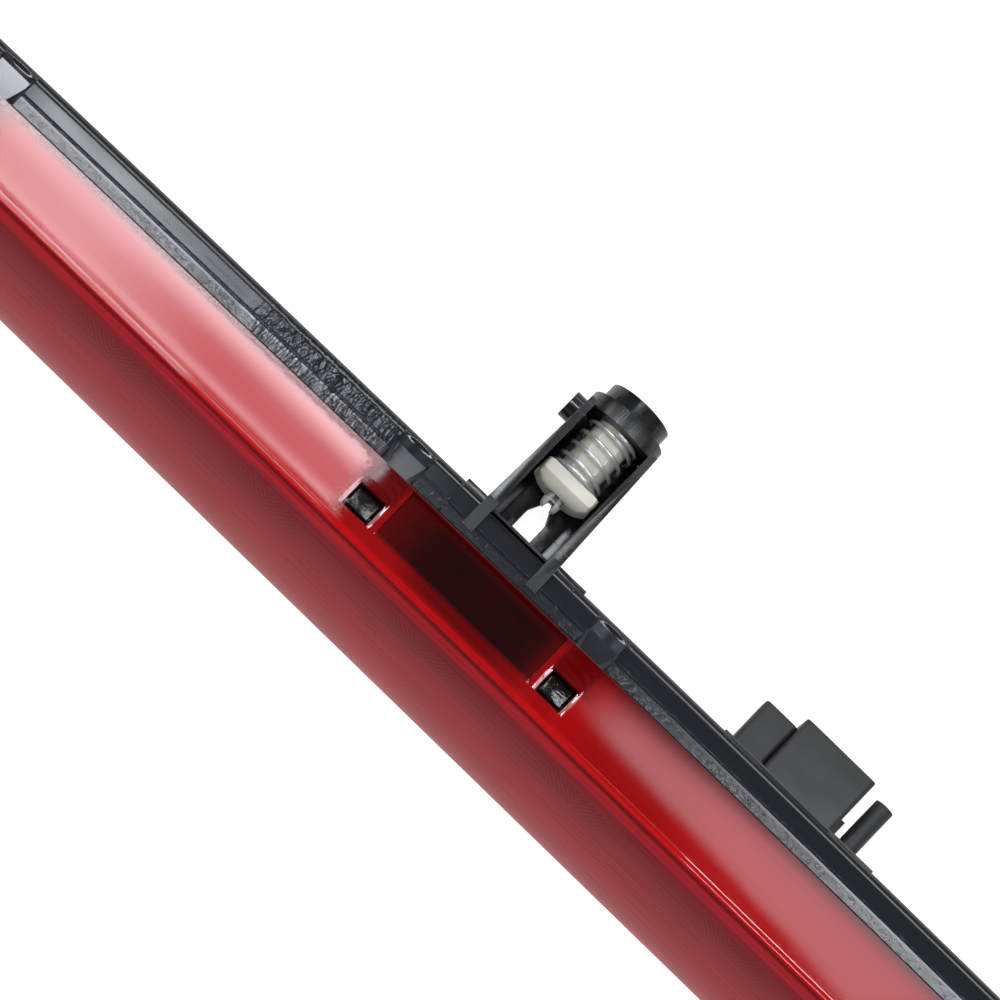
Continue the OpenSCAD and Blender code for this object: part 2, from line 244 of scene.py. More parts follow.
class Solid:
    """Closed surfaces in millimetres, gathered as arrays and turned outwards as they are added."""

    def __init__(self) -> None:
        """Starts with nothing in it."""
        self.points: list[Array] = []
        self.polygons: list[Array] = []
        self.uvs: list[Array] = []
        self.count = 0

    def add(self, points: Array, polygons: list[Array], uv: Array | None = None) -> "Solid":
        """Adds one closed surface.

        Args:
            points: The points, in rows of 3.
            polygons: Arrays of point numbers, one array for each number of corners.
            uv: Two surface coordinates for each point, or None for X and Y.

        Returns:
            This solid, so that calls can follow each other.
        """
        if signed_volume(points - points.mean(0), polygons) < 0:
            polygons = [p[:, ::-1] for p in polygons]
        self.points.append(points)
        self.polygons += [p + self.count for p in polygons]
        self.uvs.append(points[:, :2] if uv is None else uv)
        self.count += len(points)
        return self

    def shell(self, outer: Array, inner: Array, keep: Array, uv: Array | None = None) -> "Solid":
        """A wall between two grids of the same shape, closed along every edge that keep leaves open.

        Args:
            outer: Grid of points on the outside, rows by columns by 3.
            inner: The matching points on the inside.
            keep: For each cell of the grid, whether there is a wall.
            uv: Surface coordinates of the outer grid, used for both sides.

        Returns:
            This solid.
        """
        rows, cols = outer.shape[:2]
        quads = grid_quads(rows, cols)[keep]
        edges = np.concatenate([quads[:, [k, (k + 1) % 4]] for k in range(4)])
        size = rows * cols
        code = edges[:, 0] * size + edges[:, 1]
        back = edges[:, 1] * size + edges[:, 0]
        rim = edges[~np.isin(code, back)]
        walls = np.stack([rim[:, 1], rim[:, 0], rim[:, 0] + size, rim[:, 1] + size], -1)
        points = np.concatenate([outer.reshape(-1, 3), inner.reshape(-1, 3)])
        both = None if uv is None else np.concatenate([uv.reshape(-1, 2)] * 2)
        return self.add(points, [np.concatenate([quads, quads[:, ::-1] + size, walls])], both)

    def tube(self, rings: Array, closed: bool = False, uv: Array | None = None) -> "Solid":
        """A skin over a row of rings, with a flat cap at each end unless it closes on itself.

        Args:
            rings: Number of rings by points in a ring by 3.
            closed: Whether the last ring joins the first.
            uv: Surface coordinates of the rings' points.

        Returns:
            This solid.
        """
        count, sides = rings.shape[:2]
        polygons = [grid_quads(count, sides, wrap_rows=closed, wrap_cols=True).reshape(-1, 4)]
        if not closed:
            ends = np.arange(sides)
            polygons.append(np.stack([ends[::-1], ends + (count - 1) * sides]))
        flat = None if uv is None else uv.reshape(-1, 2)
        return self.add(rings.reshape(-1, 3), polygons, flat)

    def block(self, low: tuple, high: tuple, radius: float) -> "Solid":
        """A box with round edges: a ball's points, each pushed out to its own corner of the box.

        Args:
            low: Lowest corner.
            high: Highest corner.
            radius: Radius of the edges.

        Returns:
            This solid.
        """
        low, high = np.array(low, float), np.array(high, float)
        quarter = np.radians(np.linspace(0.5, 89.5, EDGE_STEPS))
        around = np.concatenate([quarter + k * math.pi / 2 for k in range(4)])
        lift = np.concatenate([-quarter[::-1], quarter])
        ball = np.stack([
            np.cos(lift)[:, None] * np.cos(around),
            np.cos(lift)[:, None] * np.sin(around),
            np.repeat(np.sin(lift)[:, None], len(around), 1),
        ], -1)
        half = (high - low) / 2 - radius
        return self.tube((low + high) / 2 + np.sign(ball) * half + radius * ball)

    def lathe(self, centre: tuple[float, float], profile: Array, sides: int,
              reach: Array | None = None) -> "Solid":
        """A profile turned about a line along Y.

        Args:
            centre: X and Z of the line.
            profile: Points of a closed outline, each its Y and its radius.
            sides: Steps round the turn.
            reach: Largest distance from the line at each step, or at each step and point of the
                profile, or None for no limit.

        Returns:
            This solid.
        """
        t = np.linspace(0, 2 * math.pi, sides, endpoint=False)
        radius = np.repeat(profile[None, :, 1], sides, 0)
        if reach is not None:
            radius = np.minimum(radius, reach.reshape(sides, -1))
        rings = np.stack([
            centre[0] + radius * np.cos(t)[:, None],
            np.repeat(profile[None, :, 0], sides, 0),
            centre[1] + radius * np.sin(t)[:, None],
        ], -1)
        uv = np.stack([np.repeat(t[:, None], profile.shape[0], 1), rings[..., 1]], -1)
        return self.tube(rings, closed=True, uv=uv)

    def finish(self, name: str, sharp: float) -> bpy.types.Object:
        """Makes the object, in metres, with doubled points merged and corners over sharp kept crisp.

        Args:
            name: The piece's name.
            sharp: Angle in degrees over which an edge stays crisp.

        Returns:
            The object, linked to the scene.
        """
        points = np.concatenate(self.points)
        mesh = bpy.data.meshes.new(name)
        corners = np.concatenate([p.ravel() for p in self.polygons]).astype(np.int32)
        sizes = np.concatenate([np.full(len(p), p.shape[1]) for p in self.polygons])
        mesh.vertices.add(len(points))
        mesh.vertices.foreach_set("co", (points * MM).astype(np.float32).ravel())
        mesh.loops.add(len(corners))
        mesh.loops.foreach_set("vertex_index", corners)
        mesh.polygons.add(len(sizes))
        mesh.polygons.foreach_set("loop_start", (np.cumsum(sizes) - sizes).astype(np.int32))
        mesh.update(calc_edges=True)
        uv = mesh.uv_layers.new(name="skin")
        flat = np.concatenate(self.uvs)[corners].astype(np.float32)
        uv.data.foreach_set("uv", flat.ravel())
        return dress_mesh(mesh, name, sharp)


def dress_mesh(mesh: bpy.types.Mesh, name: str, sharp: float, bevel: float = 0.0) -> bpy.types.Object:
    """Merges a mesh's doubled points, sets its shading and makes its object.

    Args:
        mesh: The mesh, in metres.
        name: The object's name.
        sharp: Angle in degrees over which an edge stays crisp.
        bevel: Width in millimetres of a bevel along crisp edges, or 0 for none.

    Returns:
        The object, linked to the scene.
    """
    work = bmesh.new()
    work.from_mesh(mesh)
    bmesh.ops.remove_doubles(work, verts=work.verts, dist=WELD * MM)
    bmesh.ops.dissolve_degenerate(work, edges=work.edges, dist=WELD * MM)
    work.to_mesh(mesh)
    work.free()
    mesh.shade_smooth()
    mesh.set_sharp_from_angle(angle=math.radians(sharp))
    obj = bpy.data.objects.new(name, mesh)
    bpy.context.scene.collection.objects.link(obj)
    if bevel:
        edge = obj.modifiers.new("edges", "BEVEL")
        edge.width = bevel * MM
        edge.segments = 2
        edge.limit_method = "ANGLE"
        edge.angle_limit = math.radians(sharp)
        edge.use_clamp_overlap = True
        edge.harden_normals = True
    return obj


def node_copy(node: str, name: str, bevel: float, sharp: float = 34.0) -> bpy.types.Object:
    """A piece with a CAD node's own shape, its loose triangles merged and its edges rounded.

    Args:
        node: The CAD node.
        name: The new piece's name.
        bevel: Width in millimetres of the rounded edges.
        sharp: Angle in degrees over which an edge is rounded.

    Returns:
        The new object.
    """
    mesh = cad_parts[node].data.copy()
    mesh.name = name
    mesh.materials.clear()
    return dress_mesh(mesh, name, sharp, bevel)


def centre_of(node: str) -> tuple[float, float]:
    """X and Z of the middle of a CAD node's box, in millimetres."""
    low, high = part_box(node)
    return (low.x + high.x) / 2 / MM, (low.z + high.z) / 2 / MM


def deepest(node: str) -> tuple[float, float]:
    """Lowest and highest Y of a CAD node, in millimetres."""
    low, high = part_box(node)
    return low.y / MM, high.y / MM


# ---------- Finishes ----------


class Nodes:
    """A node tree with short calls for the nodes that the finishes use."""

    def __init__(self, tree: bpy.types.NodeTree) -> None:
        """Takes the tree to fill."""
        self.tree = tree

    def add(self, kind: str, **settings: object) -> bpy.types.Node:
        """Adds a node and sets its properties.

        Args:
            kind: The node's type, without its ShaderNode prefix.
            **settings: Properties of the node.

        Returns:
            The node.
        """
        node = self.tree.nodes.new("ShaderNode" + kind)
        for key, value in settings.items():
            setattr(node, key, value)
        return node

    def put(self, node: bpy.types.Node, inputs: dict) -> bpy.types.Node:
        """Links sockets or sets values on a node's inputs.

        Args:
            node: The node.
            inputs: Input name or number to a socket or a value.

        Returns:
            The node.
        """
        for key, value in inputs.items():
            if isinstance(value, bpy.types.NodeSocket):
                self.tree.links.new(value, node.inputs[key])
            else:
                node.inputs[key].default_value = value
        return node

    def math(self, kind: str, a: object, b: object = 0.0, c: object = 0.0) -> bpy.types.NodeSocket:
        """The result of a Math node on up to three sockets or numbers."""
        return self.put(self.add("Math", operation=kind), {0: a, 1: b, 2: c}).outputs[0]

    def ease(self, value: object, low: float, high: float) -> bpy.types.NodeSocket:
        """A soft step of value from 0 at low to 1 at high."""
        node = self.add("MapRange", interpolation_type="SMOOTHSTEP")
        return self.put(node, {"Value": value, "From Min": low, "From Max": high}).outputs[0]

    def blend(self, share: object, a: object, b: object) -> bpy.types.NodeSocket:
        """Colour a changed into b by share."""
        node = self.add("Mix", data_type="RGBA")
        return self.put(node, {0: share, 6: a, 7: b}).outputs[2]

    def place(self, scale: tuple[float, float, float] = (1, 1, 1)) -> bpy.types.NodeSocket:
        """Object coordinates in metres, stretched by scale."""
        spot = self.add("TexCoord").outputs["Object"]
        return self.put(self.add("Mapping"), {"Vector": spot, "Scale": scale}).outputs[0]

    def noise(self, where: object, scale: float, detail: float = 3.0,
              rough: float = 0.55) -> bpy.types.NodeSocket:
        """A noise value at a place."""
        inputs = {"Vector": where, "Scale": scale, "Detail": detail, "Roughness": rough}
        return self.put(self.add("TexNoise"), inputs).outputs["Fac"]

    def bump(self, height: object, strength: float, distance: float,
             under: object = None) -> bpy.types.NodeSocket:
        """A normal bent by a height.

        Args:
            height: The height.
            strength: How much of the bend is used, from 0 to 1.
            distance: Rise in metres where the height is 1.
            under: The normal that is bent, or None for the surface's own.

        Returns:
            The bent normal.
        """
        inputs = {"Height": height, "Strength": strength, "Distance": distance}
        if under is not None:
            inputs["Normal"] = under
        return self.put(self.add("Bump"), inputs).outputs[0]


def socket(tree: bpy.types.NodeTree, name: str, kind: str, out: bool = False,
           value: object = None) -> None:
    """Adds a named socket to a node group.

    Args:
        tree: The group.
        name: The socket's name.
        kind: Float, Vector or Color.
        out: Whether it is an output.
        value: Its value where nothing is linked.
    """
    made = tree.interface.new_socket(
        name, in_out="OUTPUT" if out else "INPUT", socket_type="NodeSocket" + kind)
    if value is not None:
        made.default_value = value


def moulding_group() -> bpy.types.NodeTree:
    """Sink marks and fine grain of moulded plastic, as a height and a shade.

    Returns:
        A group with inputs Sink Size, Grain Size and Grain, and outputs Height, Shade and Scuffs.
    """
    tree = bpy.data.node_groups.new("moulded skin", "ShaderNodeTree")
    socket(tree, "Sink Size", "Float", value=110.0)
    socket(tree, "Grain Size", "Float", value=2600.0)
    socket(tree, "Grain", "Float", value=0.3)
    for name in ("Height", "Shade", "Scuffs"):
        socket(tree, name, "Float", out=True)
    kit = Nodes(tree)
    given = tree.nodes.new("NodeGroupInput").outputs
    where = kit.place((0.45, 1.0, 1.0))
    sink = kit.noise(where, 1.0, 2.0, 0.4)
    tree.links.new(given["Sink Size"], sink.node.inputs["Scale"])
    grain = kit.noise(kit.place(), 1.0, 2.0)
    tree.links.new(given["Grain Size"], grain.node.inputs["Scale"])
    scratch = kit.noise(kit.place((0.06, 1.0, 1.0)), 900.0, 2.0, 0.7)
    mixed = kit.math("MULTIPLY_ADD", grain, given["Grain"], sink)
    gone = tree.nodes.new("NodeGroupOutput")
    tree.links.new(mixed, gone.inputs["Height"])
    tree.links.new(kit.ease(sink, 0.3, 0.7), gone.inputs["Shade"])
    tree.links.new(kit.ease(scratch, 0.56, 0.78), gone.inputs["Scuffs"])
    return tree


def edge_group() -> bpy.types.NodeTree:
    """A mask of the edges of a piece, broken up by noise, where handling has polished them.

    Returns:
        A group with the input Width, in metres, and the output Edge.
    """
    tree = bpy.data.node_groups.new("worn edges", "ShaderNodeTree")
    socket(tree, "Width", "Float", value=0.0003)
    socket(tree, "Edge", "Float", out=True)
    kit = Nodes(tree)
    given = tree.nodes.new("NodeGroupInput").outputs
    soft = kit.put(kit.add("Bevel", samples=4), {"Radius": given["Width"]}).outputs[0]
    true = kit.add("NewGeometry").outputs["Normal"]
    turn = kit.put(kit.add("VectorMath", operation="DOT_PRODUCT"), {0: soft, 1: true}).outputs[1]
    patchy = kit.ease(kit.noise(kit.place(), 420.0), 0.25, 0.6)
    mask = kit.math("MULTIPLY", kit.ease(turn, 0.985, 0.88), patchy)
    tree.links.new(mask, tree.nodes.new("NodeGroupOutput").inputs["Edge"])
    return tree


def shared(make: GroupMaker) -> bpy.types.NodeTree:
    """A group made once by its function and used by every finish that asks for it.

    Args:
        make: The function that makes the group.

    Returns:
        The group.
    """
    if make not in SHARED:
        SHARED[make] = make()
    return SHARED[make]


def rgba(colour: Colour) -> tuple[float, float, float, float]:
    """A colour with full alpha."""
    return (*colour, 1.0)


@dataclass(frozen=True)
class Finish:
    """A material: its name and the record's slot that it stands for."""

    name: str
    slot: str

    def material(self) -> bpy.types.Material:
        """The material, built the first time that it is asked for.

        Returns:
            The material.
        """
        found = bpy.data.materials.get(self.name)
        if found is None:
            found = bpy.data.materials.new(self.name)
            found.use_nodes = True
            kit = Nodes(found.node_tree)
            shader = found.node_tree.nodes["Principled BSDF"]
            self.build(kit, shader)
        return found

    def build(self, kit: Nodes, shader: bpy.types.Node) -> None:
        """Fills the node tree. Each finish has its own.

        Args:
            kit: The tree.
            shader: Its Principled node.
        """
        raise NotImplementedError

    def wear(self, obj: bpy.types.Object) -> None:
        """Puts the finish on a piece.

        Args:
            obj: The piece, new or a CAD node.
        """
        obj.data.materials.clear()
        obj.data.materials.append(self.material())


@dataclass(frozen=True)
class Moulding(Finish):
    """Moulded plastic: a colour, its gloss, the depth of its sink marks and its grain."""

    colour: Colour = (0.012, 0.013, 0.015)
    worn: Colour = (0.09, 0.095, 0.1)
    gloss: tuple[float, float] = (0.22, 0.4)
    sink_size: float = 110.0
    sink: float = 0.25
    grain: float = 0.1
    scuff: float = 0.5

    def build(self, kit: Nodes, shader: bpy.types.Node) -> None:
        """Colour and gloss vary with the sink marks, and edges and scuffs show the worn colour.

        Args:
            kit: The tree.
            shader: Its Principled node.
        """
        skin = kit.add("Group", node_tree=shared(moulding_group))
        kit.put(skin, {"Sink Size": self.sink_size, "Grain": self.grain})
        edge = kit.add("Group", node_tree=shared(edge_group)).outputs["Edge"]
        worn = kit.math("MULTIPLY_ADD", skin.outputs["Scuffs"], self.scuff * 0.35, edge)
        deep = tuple(c * 0.72 for c in self.colour)
        base = kit.blend(skin.outputs["Shade"], rgba(deep), rgba(self.colour))
        colour = kit.blend(kit.math("MULTIPLY", worn, self.scuff), base, rgba(self.worn))
        rough = kit.add("MapRange")
        kit.put(rough, {"Value": skin.outputs["Shade"], "To Min": self.gloss[1], "To Max": self.gloss[0]})
        scuffed = kit.math("MULTIPLY_ADD", skin.outputs["Scuffs"], 0.12 * self.scuff, rough.outputs[0])
        normal = kit.bump(skin.outputs["Height"], self.sink, 0.0006)
        kit.put(shader, {"Base Color": colour, "Roughness": scuffed, "Normal": normal})
        kit.put(shader, {"IOR": 1.5})


@dataclass(frozen=True)
class WrinkledMoulding(Moulding):
    """A moulding that is wrinkled between two places, where it cooled unevenly.

    Places are metres: wrinkled along X, strip up Z, and along Y where painted shade starts, which turns the
    hooks under the lens a dark red, near black.
    """

    wrinkled: tuple[float, float] = (-0.156, -0.118)
    strip: tuple[float, float] = (0.0099, 0.0101)
    hook_shade: tuple[float, float] = (-0.0152, -0.0160)
    hook_shade_colour: Colour = (0.006, 0.003, 0.003)

    def build(self, kit: Nodes, shader: bpy.types.Node) -> None:
        """Adds wrinkles across the length, fine crumbs on the strip beside the joint, and painted shade on
        the hooks under the lens.

        Args:
            kit: The tree.
            shader: Its Principled node.
        """
        super().build(kit, shader)
        spot = kit.place()
        parts = kit.put(kit.add("SeparateXYZ"), {0: spot}).outputs
        start, end = self.wrinkled
        patch = kit.math("MULTIPLY", kit.ease(parts[0], start - 0.003, start + 0.004),
                         kit.ease(parts[0], end + 0.004, end - 0.002))
        folds = kit.noise(kit.place((1.0, 0.35, 0.35)), 420.0, 3.0, 0.6)
        crumbs = kit.noise(kit.place((0.6, 1.0, 1.0)), 1300.0, 3.0, 0.6)
        strip = kit.ease(parts[2], *self.strip)
        crumbled = kit.math("MULTIPLY", crumbs, strip)
        folded = kit.math("MULTIPLY", folds, patch)
        height = kit.math("MULTIPLY_ADD", crumbled, 0.22, folded)
        # Painted shade: the hooks under the lens turn a dark red, near black.
        hook_shade = kit.ease(parts[1], *self.hook_shade)
        plain = shader.inputs["Base Color"].links[0].from_socket
        kit.put(shader, {"Base Color": kit.blend(hook_shade, plain, rgba(self.hook_shade_colour))})
        under = shader.inputs["Normal"].links[0].from_socket
        kit.put(shader, {"Normal": kit.bump(height, 0.9, 0.0005, under)})


@dataclass(frozen=True)
class RedLens(Finish):
    """Clear red acrylic: colour zones from the tint attribute, painted shade and painted light among them,
    fine flutes and chevrons inside.
    """

    ior: float = 1.49
    passed: float = 0.35
    pitch: float = LIGHT_PITCH
    line_gap: float = 1.15
    chevron_gap: float = 1.3
    line_colour: Colour = (0.085, 0.004, 0.010)
    mist_colour: Colour = (0.50, 0.36, 0.37)

    def build(self, kit: Nodes, shader: bpy.types.Node) -> None:
        """The tint is darkened by lengthwise lines and, near each light, by a fan of chevrons.

        Args:
            kit: The tree.
            shader: Its Principled node.
        """
        tint = kit.add("Attribute", attribute_name="tint").outputs["Color"]
        zone = kit.add("Attribute", attribute_name="optic").outputs["Fac"]
        along = kit.add("UVMap", uv_map="skin").outputs[0]
        parts = kit.put(kit.add("SeparateXYZ"), {0: along}).outputs
        x, s = parts[0], parts[1]
        drift = kit.noise(kit.place((1.0, 6.0, 6.0)), 28.0, 3.0)
        bent = kit.math("MULTIPLY_ADD", drift, 1.1, s)
        thread = kit.math("SINE", kit.math("MULTIPLY", bent, 2 * math.pi / self.line_gap))
        line = kit.ease(thread, 0.1, 1.0)
        streak = kit.noise(kit.place((0.05, 1.0, 1.0)), 1500.0, 3.0, 0.6)
        lines = kit.math("MULTIPLY", line, kit.ease(streak, 0.35, 0.65))
        fine = kit.math("MULTIPLY_ADD", streak, 0.5, kit.math("MULTIPLY", lines, 0.55))
        # Chevrons: slanted lines that mirror about each light
        near = kit.math("PINGPONG", x, self.pitch / 2)
        slant = kit.math("MULTIPLY_ADD", s, 1.25, near)
        wave = kit.math("SINE", kit.math("MULTIPLY", slant, 2 * math.pi / self.chevron_gap))
        fan = kit.ease(wave, -0.2, 0.9)
        close = kit.ease(near, self.pitch * 0.40, self.pitch * 0.12)
        band = kit.math("MULTIPLY", kit.ease(zone, 0.55, 0.95), close)
        dark = kit.math("MAXIMUM", kit.math("MULTIPLY", fine, kit.ease(zone, 0.05, 0.4)),
                        kit.math("MULTIPLY", fan, band))
        colour = kit.blend(kit.math("MULTIPLY", dark, 0.62), tint, rgba(self.line_colour))
        skin = kit.add("Group", node_tree=shared(moulding_group))
        kit.put(skin, {"Sink Size": 75.0, "Grain": 0.02})
        haze = kit.add("Attribute", attribute_name="haze").outputs["Fac"]
        crumbs = kit.noise(kit.place((0.7, 1.0, 1.0)), 2600.0, 5.0, 0.75)
        speck = kit.ease(kit.math("MULTIPLY_ADD", haze, 0.35, crumbs), 0.62, 0.82)
        frost = kit.math("MULTIPLY", haze, speck)
        misted = kit.blend(kit.math("MULTIPLY", frost, 0.7), colour, rgba(self.mist_colour))
        gloss = kit.math("MULTIPLY_ADD", skin.outputs["Shade"], 0.012, 0.024)
        rough = kit.math("MULTIPLY_ADD", frost, 0.25, gloss)
        normal = kit.bump(skin.outputs["Height"], 0.1, 0.00008)
        kit.put(shader, {"Base Color": misted, "Roughness": rough, "Normal": normal})
        kit.put(shader, {"IOR": self.ior, "Transmission Weight": self.passed})


@dataclass(frozen=True)
class SpringWire(Finish):
    """Bright drawn wire, with lines along it and darker oil in patches."""

    colour: Colour = (0.78, 0.78, 0.8)

    def build(self, kit: Nodes, shader: bpy.types.Node) -> None:
        """Drawn lines follow the wire's own coordinates.

        Args:
            kit: The tree.
            shader: Its Principled node.
        """
        along = kit.add("UVMap", uv_map="skin").outputs[0]
        lines = kit.put(kit.add("Mapping"), {"Vector": along, "Scale": (14.0, 0.6, 1.0)}).outputs[0]
        drawn = kit.noise(lines, 3.0, 3.0)
        stain = kit.ease(kit.noise(kit.place(), 260.0), 0.5, 0.75)
        colour = kit.blend(kit.math("MULTIPLY", stain, 0.4), rgba(self.colour), rgba((0.45, 0.45, 0.45)))
        rough = kit.math("MULTIPLY_ADD", drawn, 0.16, 0.1)
        normal = kit.bump(drawn, 0.25, 0.00004)
        kit.put(shader, {"Base Color": colour, "Roughness": rough, "Normal": normal})
        kit.put(shader, {"Metallic": 0.7})


@dataclass(frozen=True)
class MilkyNylon(Finish):
    """Natural nylon that lets some light through."""

    colour: Colour = (0.72, 0.72, 0.7)

    def build(self, kit: Nodes, shader: bpy.types.Node) -> None:
        """Cloudy colour and a soft sheen.

        Args:
            kit: The tree.
            shader: Its Principled node.
        """
        cloud = kit.noise(kit.place(), 700.0, 3.0)
        colour = kit.blend(kit.ease(cloud, 0.3, 0.7), rgba(self.colour), rgba((0.5, 0.52, 0.53)))
        rough = kit.math("MULTIPLY_ADD", cloud, 0.2, 0.22)
        normal = kit.bump(cloud, 0.2, 0.0002)
        kit.put(shader, {"Base Color": colour, "Roughness": rough, "Normal": normal})
        kit.put(shader, {"IOR": 1.53, "Transmission Weight": 0.35})


@dataclass(frozen=True)
class BareMetal(Finish):
    """Plated metal with fine brushing and tarnish."""

    colour: Colour = (0.7, 0.7, 0.72)
    tarnish: Colour = (0.42, 0.4, 0.36)

    def build(self, kit: Nodes, shader: bpy.types.Node) -> None:
        """Tarnish gathers in patches, which are rougher.

        Args:
            kit: The tree.
            shader: Its Principled node.
        """
        patch = kit.ease(kit.noise(kit.place(), 500.0, 4.0), 0.4, 0.7)
        brush = kit.noise(kit.place((1.0, 0.08, 1.0)), 5200.0, 2.0)
        colour = kit.blend(patch, rgba(self.colour), rgba(self.tarnish))
        rough = kit.math("MULTIPLY_ADD", patch, 0.2, kit.math("MULTIPLY_ADD", brush, 0.12, 0.18))
        normal = kit.bump(brush, 0.2, 0.00005)
        kit.put(shader, {"Base Color": colour, "Roughness": rough, "Normal": normal})
        kit.put(shader, {"Metallic": 1.0})


@dataclass(frozen=True)
class SolderMask(Finish):
    """A green board: copper runs that show through the mask, and its weave."""

    colour: Colour = (0.012, 0.11, 0.035)

    def build(self, kit: Nodes, shader: bpy.types.Node) -> None:
        """Runs are bands of square cells, raised a little over the laminate.

        Args:
            kit: The tree.
            shader: Its Principled node.
        """
        cells = kit.put(kit.add("TexBrick"), {
            "Vector": kit.put(kit.add("Mapping"), {
                "Vector": kit.add("TexCoord").outputs["Object"],
                "Rotation": (math.pi / 2, 0, 0),
            }).outputs[0],
            "Scale": 60.0, "Mortar Size": 0.04, "Mortar Smooth": 0.3,
            "Color1": (1, 1, 1, 1), "Color2": (0.7, 0.7, 0.7, 1), "Mortar": (0, 0, 0, 1),
        }).outputs
        weave = kit.noise(kit.place(), 2400.0, 2.0)
        copper = kit.blend(weave, rgba((0.02, 0.19, 0.06)), rgba((0.03, 0.24, 0.08)))
        colour = kit.blend(cells["Fac"], copper, rgba(self.colour))
        rough = kit.math("MULTIPLY_ADD", weave, 0.15, 0.28)
        normal = kit.bump(kit.math("SUBTRACT", weave, cells["Fac"]), 0.3, 0.00006)
        kit.put(shader, {"Base Color": colour, "Roughness": rough, "Normal": normal})


@dataclass(frozen=True)
class ClearOptic(Finish):
    """Clear acrylic with a little haze and moulding flow."""

    def build(self, kit: Nodes, shader: bpy.types.Node) -> None:
        """Flow lines bend the surface, and dust dulls it.

        Args:
            kit: The tree.
            shader: Its Principled node.
        """
        flow = kit.noise(kit.place((0.2, 1.0, 1.0)), 260.0, 2.0)
        dust = kit.ease(kit.noise(kit.place(), 3000.0, 4.0), 0.55, 0.8)
        colour = kit.blend(dust, rgba((0.93, 0.93, 0.94)), rgba((0.75, 0.74, 0.72)))
        rough = kit.math("MULTIPLY_ADD", dust, 0.25, 0.05)
        normal = kit.bump(flow, 0.15, 0.0003)
        kit.put(shader, {"Base Color": colour, "Roughness": rough, "Normal": normal})
        kit.put(shader, {"IOR": 1.49, "Transmission Weight": 0.85})


@dataclass(frozen=True)
class LightChip(Finish):
    """A white LED package with a yellow phosphor face."""

    def build(self, kit: Nodes, shader: bpy.types.Node) -> None:
        """The face, in front of the package, is yellow and slightly soft.

        Args:
            kit: The tree.
            shader: Its Principled node.
        """
        spot = kit.add("TexCoord").outputs["Object"]
        y = kit.put(kit.add("SeparateXYZ"), {0: spot}).outputs[1]
        front = deepest("leds")[0] * MM
        face = kit.ease(y, front + 0.00055, front + 0.00045)
        grain = kit.noise(kit.place(), 4000.0, 3.0)
        phosphor = kit.blend(grain, rgba((0.75, 0.55, 0.08)), rgba((0.85, 0.68, 0.16)))
        case = kit.blend(grain, rgba((0.74, 0.73, 0.7)), rgba((0.62, 0.61, 0.58)))
        colour = kit.blend(face, case, phosphor)
        rough = kit.math("MULTIPLY_ADD", grain, 0.25, 0.2)
        kit.put(shader, {"Base Color": colour, "Roughness": rough})
        kit.put(shader, {"Normal": kit.bump(grain, 0.2, 0.00003)})


BLACK_HOUSING = WrinkledMoulding(
    "black housing", "black_housing", colour=(0.0145, 0.0165, 0.021), worn=(0.06, 0.063, 0.07),
    gloss=(0.10, 0.2), sink_size=60.0, sink=0.05, grain=0.02, scuff=0.25)
BLACK_TOWER = Moulding(
    "black tower", "black_tower", colour=(0.0055, 0.006, 0.0068), worn=(0.05, 0.051, 0.053),
    gloss=(0.2, 0.34), sink_size=90.0, sink=0.2, grain=0.08, scuff=0.7)
BLACK_CONNECTOR = Moulding(
    "black connector", "black_connector", colour=(0.0175, 0.0185, 0.022), worn=(0.045, 0.047, 0.05),
    gloss=(0.42, 0.58), sink_size=160.0, sink=0.12, grain=0.25, scuff=0.4)
IVORY = Moulding(
    "ivory acetal", "ivory_plastic", colour=(0.70, 0.685, 0.60), worn=(0.76, 0.75, 0.69),
    gloss=(0.28, 0.42), sink_size=120.0, sink=0.1, grain=0.06, scuff=0.3)
SEAL_BEAD = Moulding(
    "sealing bead", "seal_bead", colour=(0.03, 0.03, 0.032), gloss=(0.6, 0.75), grain=0.5)
SEAL_RUBBER = Moulding(
    "seal rubber", "seal_rubber", colour=(0.022, 0.022, 0.024), gloss=(0.65, 0.8), grain=0.6)
MEMBRANE = Moulding(
    "vent membrane", "white_membrane", colour=(0.72, 0.73, 0.72), worn=(0.8, 0.8, 0.8),
    gloss=(0.7, 0.85), sink_size=900.0, grain=0.8, scuff=0.1)
RESISTOR = Moulding(
    "chip resistor", "chip_resistor", colour=(0.02, 0.02, 0.024), worn=(0.6, 0.6, 0.58),
    gloss=(0.3, 0.45), sink_size=700.0, scuff=0.8)
CAPACITOR = Moulding(
    "chip capacitor", "chip_capacitor", colour=(0.28, 0.19, 0.11), worn=(0.6, 0.58, 0.55),
    gloss=(0.35, 0.5), sink_size=700.0, scuff=0.6)
DIODE = Moulding(
    "diode moulding", "diode_moulding", colour=(0.024, 0.024, 0.026), gloss=(0.4, 0.55),
    sink_size=500.0, grain=0.5)
DARK_SHIELD = Moulding(
    "dark shield", "dark_shield", colour=(0.015, 0.015, 0.016), gloss=(0.5, 0.62), grain=0.4)
RED_LENS = RedLens("red lens", "red_lens")
SPRING_STEEL = SpringWire("spring steel", "spring_steel")
NYLON = MilkyNylon("milky nylon", "clear_nylon")
TINNED = BareMetal("tinned brass", "tinned_brass", colour=(0.72, 0.66, 0.52), tarnish=(0.5, 0.4, 0.26))
ZINC = BareMetal("zinc screw", "zinc_screw")
BOARD = SolderMask("solder mask", "board_laminate")
LEDS = LightChip("light chips", "led_package")
OPTIC = ClearOptic("clear optic", "clear_optic")


def place_piece(obj: bpy.types.Object, body: Body, finish: Finish, *nodes: str) -> bpy.types.Object:
    """Dresses a new piece, sets it on its body and hides the CAD nodes that it stands for.

    Args:
        obj: The piece.
        body: The body that it rides on.
        finish: Its finish.
        *nodes: The CAD nodes that it replaces.

    Returns:
        The piece.
    """
    finish.wear(obj)
    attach(obj, body.value)
    if nodes:
        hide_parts(*nodes)
    log.info("%s: %d faces, for %s", obj.name, len(obj.data.polygons), ", ".join(nodes))
    return obj


# ---------- The lamp's plan ----------


